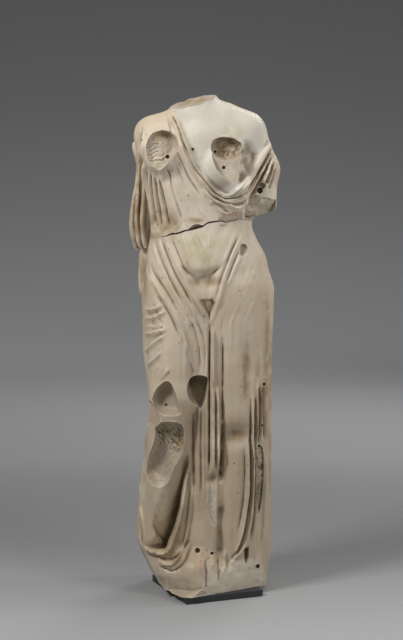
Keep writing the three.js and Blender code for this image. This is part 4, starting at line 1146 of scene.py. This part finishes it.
UPPER_DIPS = [
    (16, 32, [(104, 1284), (136, 1276), (162, 1240), (138, 1190), (108, 1140), (92, 1146), (96, 1205)]),
]
UPPER_SOFT = [(130, 1222, 16, 40, 8)]

# The skin's level rows end at this height; above it the rays fan out over the shoulders and neck.
FAN_CENTRE_Z = 1200.0
UPPER_SKIN_FOOT = 944.0
UPPER_ROW_STEP = 3.2
SHOULDER_ROWS = 88
UPPER_COLUMNS = (330, 120)

# Drilled holes: x, z, diameter, mouth, floor.
UPPER_DRILLS = [
    (-64, 1316, 9, -140, -62), (-34, 1249, 8, -140, -80), (-104, 1229, 12, -140, -62),
    (51, 1199, 10, -170, -84), (153, 1136, 17, -140, -20), (28, 1243, 8, -170, -48), (58, 1126, 6, -190, -98),
]


def bare_above_neckline(x, z, facing):
    """Bare skin on the front above the neckline, a step lower than the cloth."""
    d, _, side = off_line(x, z, curved(NECKLINE))
    bare = (z > NECKLINE_FOOT) * (x > NECKLINE_LEFT) * (side > 0) * smoothstep(0.0, 4.0, d)
    bare = bare * smoothstep(-0.1, 0.3, facing)
    return bare, CLOTH_STEP * bare


upper_rows = [(z, 0.0) for z in np.arange(UPPER_SKIN_FOOT, FAN_CENTRE_Z + 0.1, UPPER_ROW_STEP)]
upper_rows += [(FAN_CENTRE_Z, rise) for rise in np.linspace(0.0, math.pi / 2, SHOULDER_ROWS)[1:-1]]
upper = carved_skin("upper_marble_figure", upper_rows, *UPPER_COLUMNS, UPPER_FOLDS, UPPER_DIPS, [],
                    UPPER_SOFT, bare_above_neckline)
carve(upper, hanging_flaps("flap fold"), "UNION")
carve(upper, [
    waist_cutter("waist break below", False),
    hollow_cutter("right breast hollow", [
        (-161, 1290), (-149, 1303), (-131, 1307), (-111, 1306), (-93, 1298), (-80, 1284), (-73, 1262),
        (-76, 1243), (-88, 1226), (-108, 1204), (-127, 1184), (-147, 1195), (-160, 1208), (-167, 1230),
        (-168, 1258),
    ], mouth=-150, floor=-76, floor_scale=0.6, across=0.3, rise=0.26, stroke=(2.8, 10.5, -14.0), rough=1.8,
       zone=(-0.75, -0.66, -22, 12), seed=101),
    hollow_cutter("left breast facet", [
        (12, 1258), (17, 1273), (30, 1282), (47, 1286), (76, 1284), (96, 1275), (116, 1262), (112, 1232),
        (110, 1200), (104, 1168), (99, 1140), (72, 1150), (48, 1170), (28, 1196), (15, 1230),
    ], mouth=-180, floor=-102, floor_scale=0.85, across=-0.06, rise=0.08, rough=0.6, seed=111),
    hollow_cutter("left breast hollow", [
        (12, 1258), (17, 1273), (30, 1282), (47, 1286), (76, 1284), (96, 1275), (110, 1262), (106, 1240),
        (90, 1222), (60, 1214), (32, 1224), (15, 1242),
    ], mouth=-170, floor=-62, floor_scale=0.62, across=0.0, rise=0.1, rough=3.6, seed=117),
    hollow_cutter("waist ledge", [
        (34, 1060), (50, 1068), (72, 1074), (96, 1079), (113, 1077), (114, 1048), (72, 1040), (36, 1044),
    ], mouth=-150, floor=-67, floor_scale=0.9, across=0.45, rise=-0.5, rough=1.2, mark=FRESH, seed=129),
    break_cutter("neck break", out=(-0.232, -0.236, 0.944), distance=1312.0, centre=(-29, 14, 1390),
                 half=(110, 110), rough=2.4, lump=20.0, thick=120.0, mark=WORN),
    hollow_cutter("arm near facet", [
        (122, 1121), (145, 1126), (159, 1115), (159, 1090), (139, 1082), (122, 1096),
    ], mouth=-150, floor=-36, floor_scale=0.8, across=-0.5, rise=-0.3, rough=1.6, mark=FRESH, seed=121),
    hollow_cutter("arm far facet", [
        (159, 1121), (181, 1115), (192, 1093), (175, 1076), (159, 1087),
    ], mouth=-150, floor=-26, floor_scale=0.8, across=0.5, rise=-0.3, rough=1.6, mark=FRESH, seed=123),
    hollow_cutter("arm small hollow", [
        (145, 1154), (158, 1160), (172, 1154), (167, 1140), (150, 1137),
    ], mouth=-150, floor=-30, floor_scale=0.5, across=0.0, rise=0.2, rough=0.8, seed=127),
    break_cutter("arm break", out=(0.36, -0.52, -0.77), distance=-779.0, centre=(165, -40, 1085),
                 half=(46, 60), rough=4.0, lump=17.0, thick=90.0),
] + drill_cutters("upper drill", UPPER_DRILLS))
mark_stone(upper)
hand_over(upper, marble, "upper_body")

# ---------------------------------------------------------------------------------------------
# Studio: a matt floor that curves up behind, soft light from the upper left and a low fill.
# The floor's colour carries painted light and shade: a painted shadow round the statue, painted light farther
# back and painted shade up the wall.

# All sizes from here on are in metres.
FLOOR_FRONT, FLOOR_BACK, FLOOR_SIDE = -9.0, 5.0, 10.0
WALL_CURVE = 4.2
WALL_TOP = 9.0
# Share of the way back and up, and the tone of painted light and shade there.
FLOOR_PAINTED_LIGHT_TONES = [
    (0.05, 0.4), (0.12, 0.17), (0.235, 0.29), (0.44, 0.86), (0.57, 0.98), (0.78, 0.61), (1.0, 0.39),
]
TONES_FROM, TONES_SPAN = 1.0, 13.0


def floor_finish():
    finish = Finish("matt floor")
    place = finish.add("ShaderNodeSeparateXYZ", Vector=finish.where)
    back_and_up = finish.math("ADD", place.outputs["Y"], place.outputs["Z"])
    share = finish.math("DIVIDE", finish.math("ADD", back_and_up, TONES_FROM), TONES_SPAN)
    # Painted shadow and painted light: the floor's grey follows the way back and up, not any real change of
    # colour.
    grey = finish.add("ShaderNodeValToRGB", Fac=share)
    grey.color_ramp.interpolation = "B_SPLINE"
    stops = grey.color_ramp.elements
    stops[0].position, stops[1].position = FLOOR_PAINTED_LIGHT_TONES[0][0], FLOOR_PAINTED_LIGHT_TONES[-1][0]
    for position, tone in FLOOR_PAINTED_LIGHT_TONES[1:-1]:
        stops.new(position)
    for stop, (position, tone) in zip(stops, FLOOR_PAINTED_LIGHT_TONES):
        stop.color = (tone, tone, tone, 1.0)
    return finish.shade(grey.outputs["Color"], 0.85)


def studio_floor():
    profile = [(FLOOR_FRONT, 0.0), (FLOOR_BACK, 0.0)]
    profile += [(FLOOR_BACK + WALL_CURVE * math.sin(t), WALL_CURVE - WALL_CURVE * math.cos(t))
                for t in np.linspace(0.1, math.pi / 2, 18)]
    profile.append((FLOOR_BACK + WALL_CURVE, WALL_TOP))
    points = [(x / MM, y / MM, z / MM) for y, z in profile for x in (-FLOOR_SIDE, FLOOR_SIDE)]
    floor = new_piece("studio_floor", points, row_faces(len(profile), 2, False))
    floor.data.polygons.foreach_set("use_smooth", np.ones(len(floor.data.polygons), dtype=bool))
    floor.data.materials.append(floor_finish())
    return floor


def soft_light(name, place, aim_height, size, watts):
    """A rectangular light at a place, turned toward the figure's axis."""
    light = bpy.data.lights.new(name, "AREA")
    light.shape = "RECTANGLE"
    light.size, light.size_y = size
    light.energy = watts
    lamp = bpy.data.objects.new(name, light)
    lamp.location = place
    x, y, z = np.array((0.0, 0.0, aim_height)) - np.array(place)
    lamp.rotation_euler = (math.acos(-z / math.hypot(x, y, z)), 0.0, math.atan2(-x, y))
    bpy.context.scene.collection.objects.link(lamp)


studio_floor()
soft_light("key light", (-2.3, -1.9, 3.3), 0.9, (1.0, 1.0), 112.0)
soft_light("fill light", (2.7, -2.7, 2.4), 0.7, (1.4, 1.4), 50.0)
soft_light("side light", (2.8, 0.5, 1.5), 0.8, (0.6, 1.8), 24.0)
soft_light("back light", (1.6, 2.9, 3.1), 0.9, (1.4, 1.4), 38.0)
soft_light("top light", (0.4, 0.2, 4.0), 0.7, (2.0, 2.0), 24.0)
world = bpy.data.worlds.new("studio air")
world.use_nodes = True
air = world.node_tree.nodes["Background"]
air.inputs["Color"].default_value = (0.80, 0.82, 0.85, 1.0)
air.inputs["Strength"].default_value = 0.10
bpy.context.scene.world = world

# ---------------------------------------------------------------------------------------------
# Camera: a long lens level with the chest and looking a little down, at the photograph's
# distance, a centimetre to the left of the figure's middle.
CAMERA_DISTANCE = 4.2
CAMERA_HEIGHT = 1.125
CAMERA_LEFT = 0.0099
LOOK_DOWN = math.radians(4.832)
camera = bpy.data.objects.new("camera", bpy.data.cameras.new("camera"))
camera.location = (-CAMERA_LEFT, -CAMERA_DISTANCE, CAMERA_HEIGHT)
camera.rotation_euler = (math.pi / 2 - LOOK_DOWN, 0.0, 0.0)
camera.data.sensor_width = 36.0
camera.data.lens = 83.52
bpy.context.scene.collection.objects.link(camera)
bpy.context.scene.camera = camera
bpy.context.scene.view_settings.view_transform = "Standard"
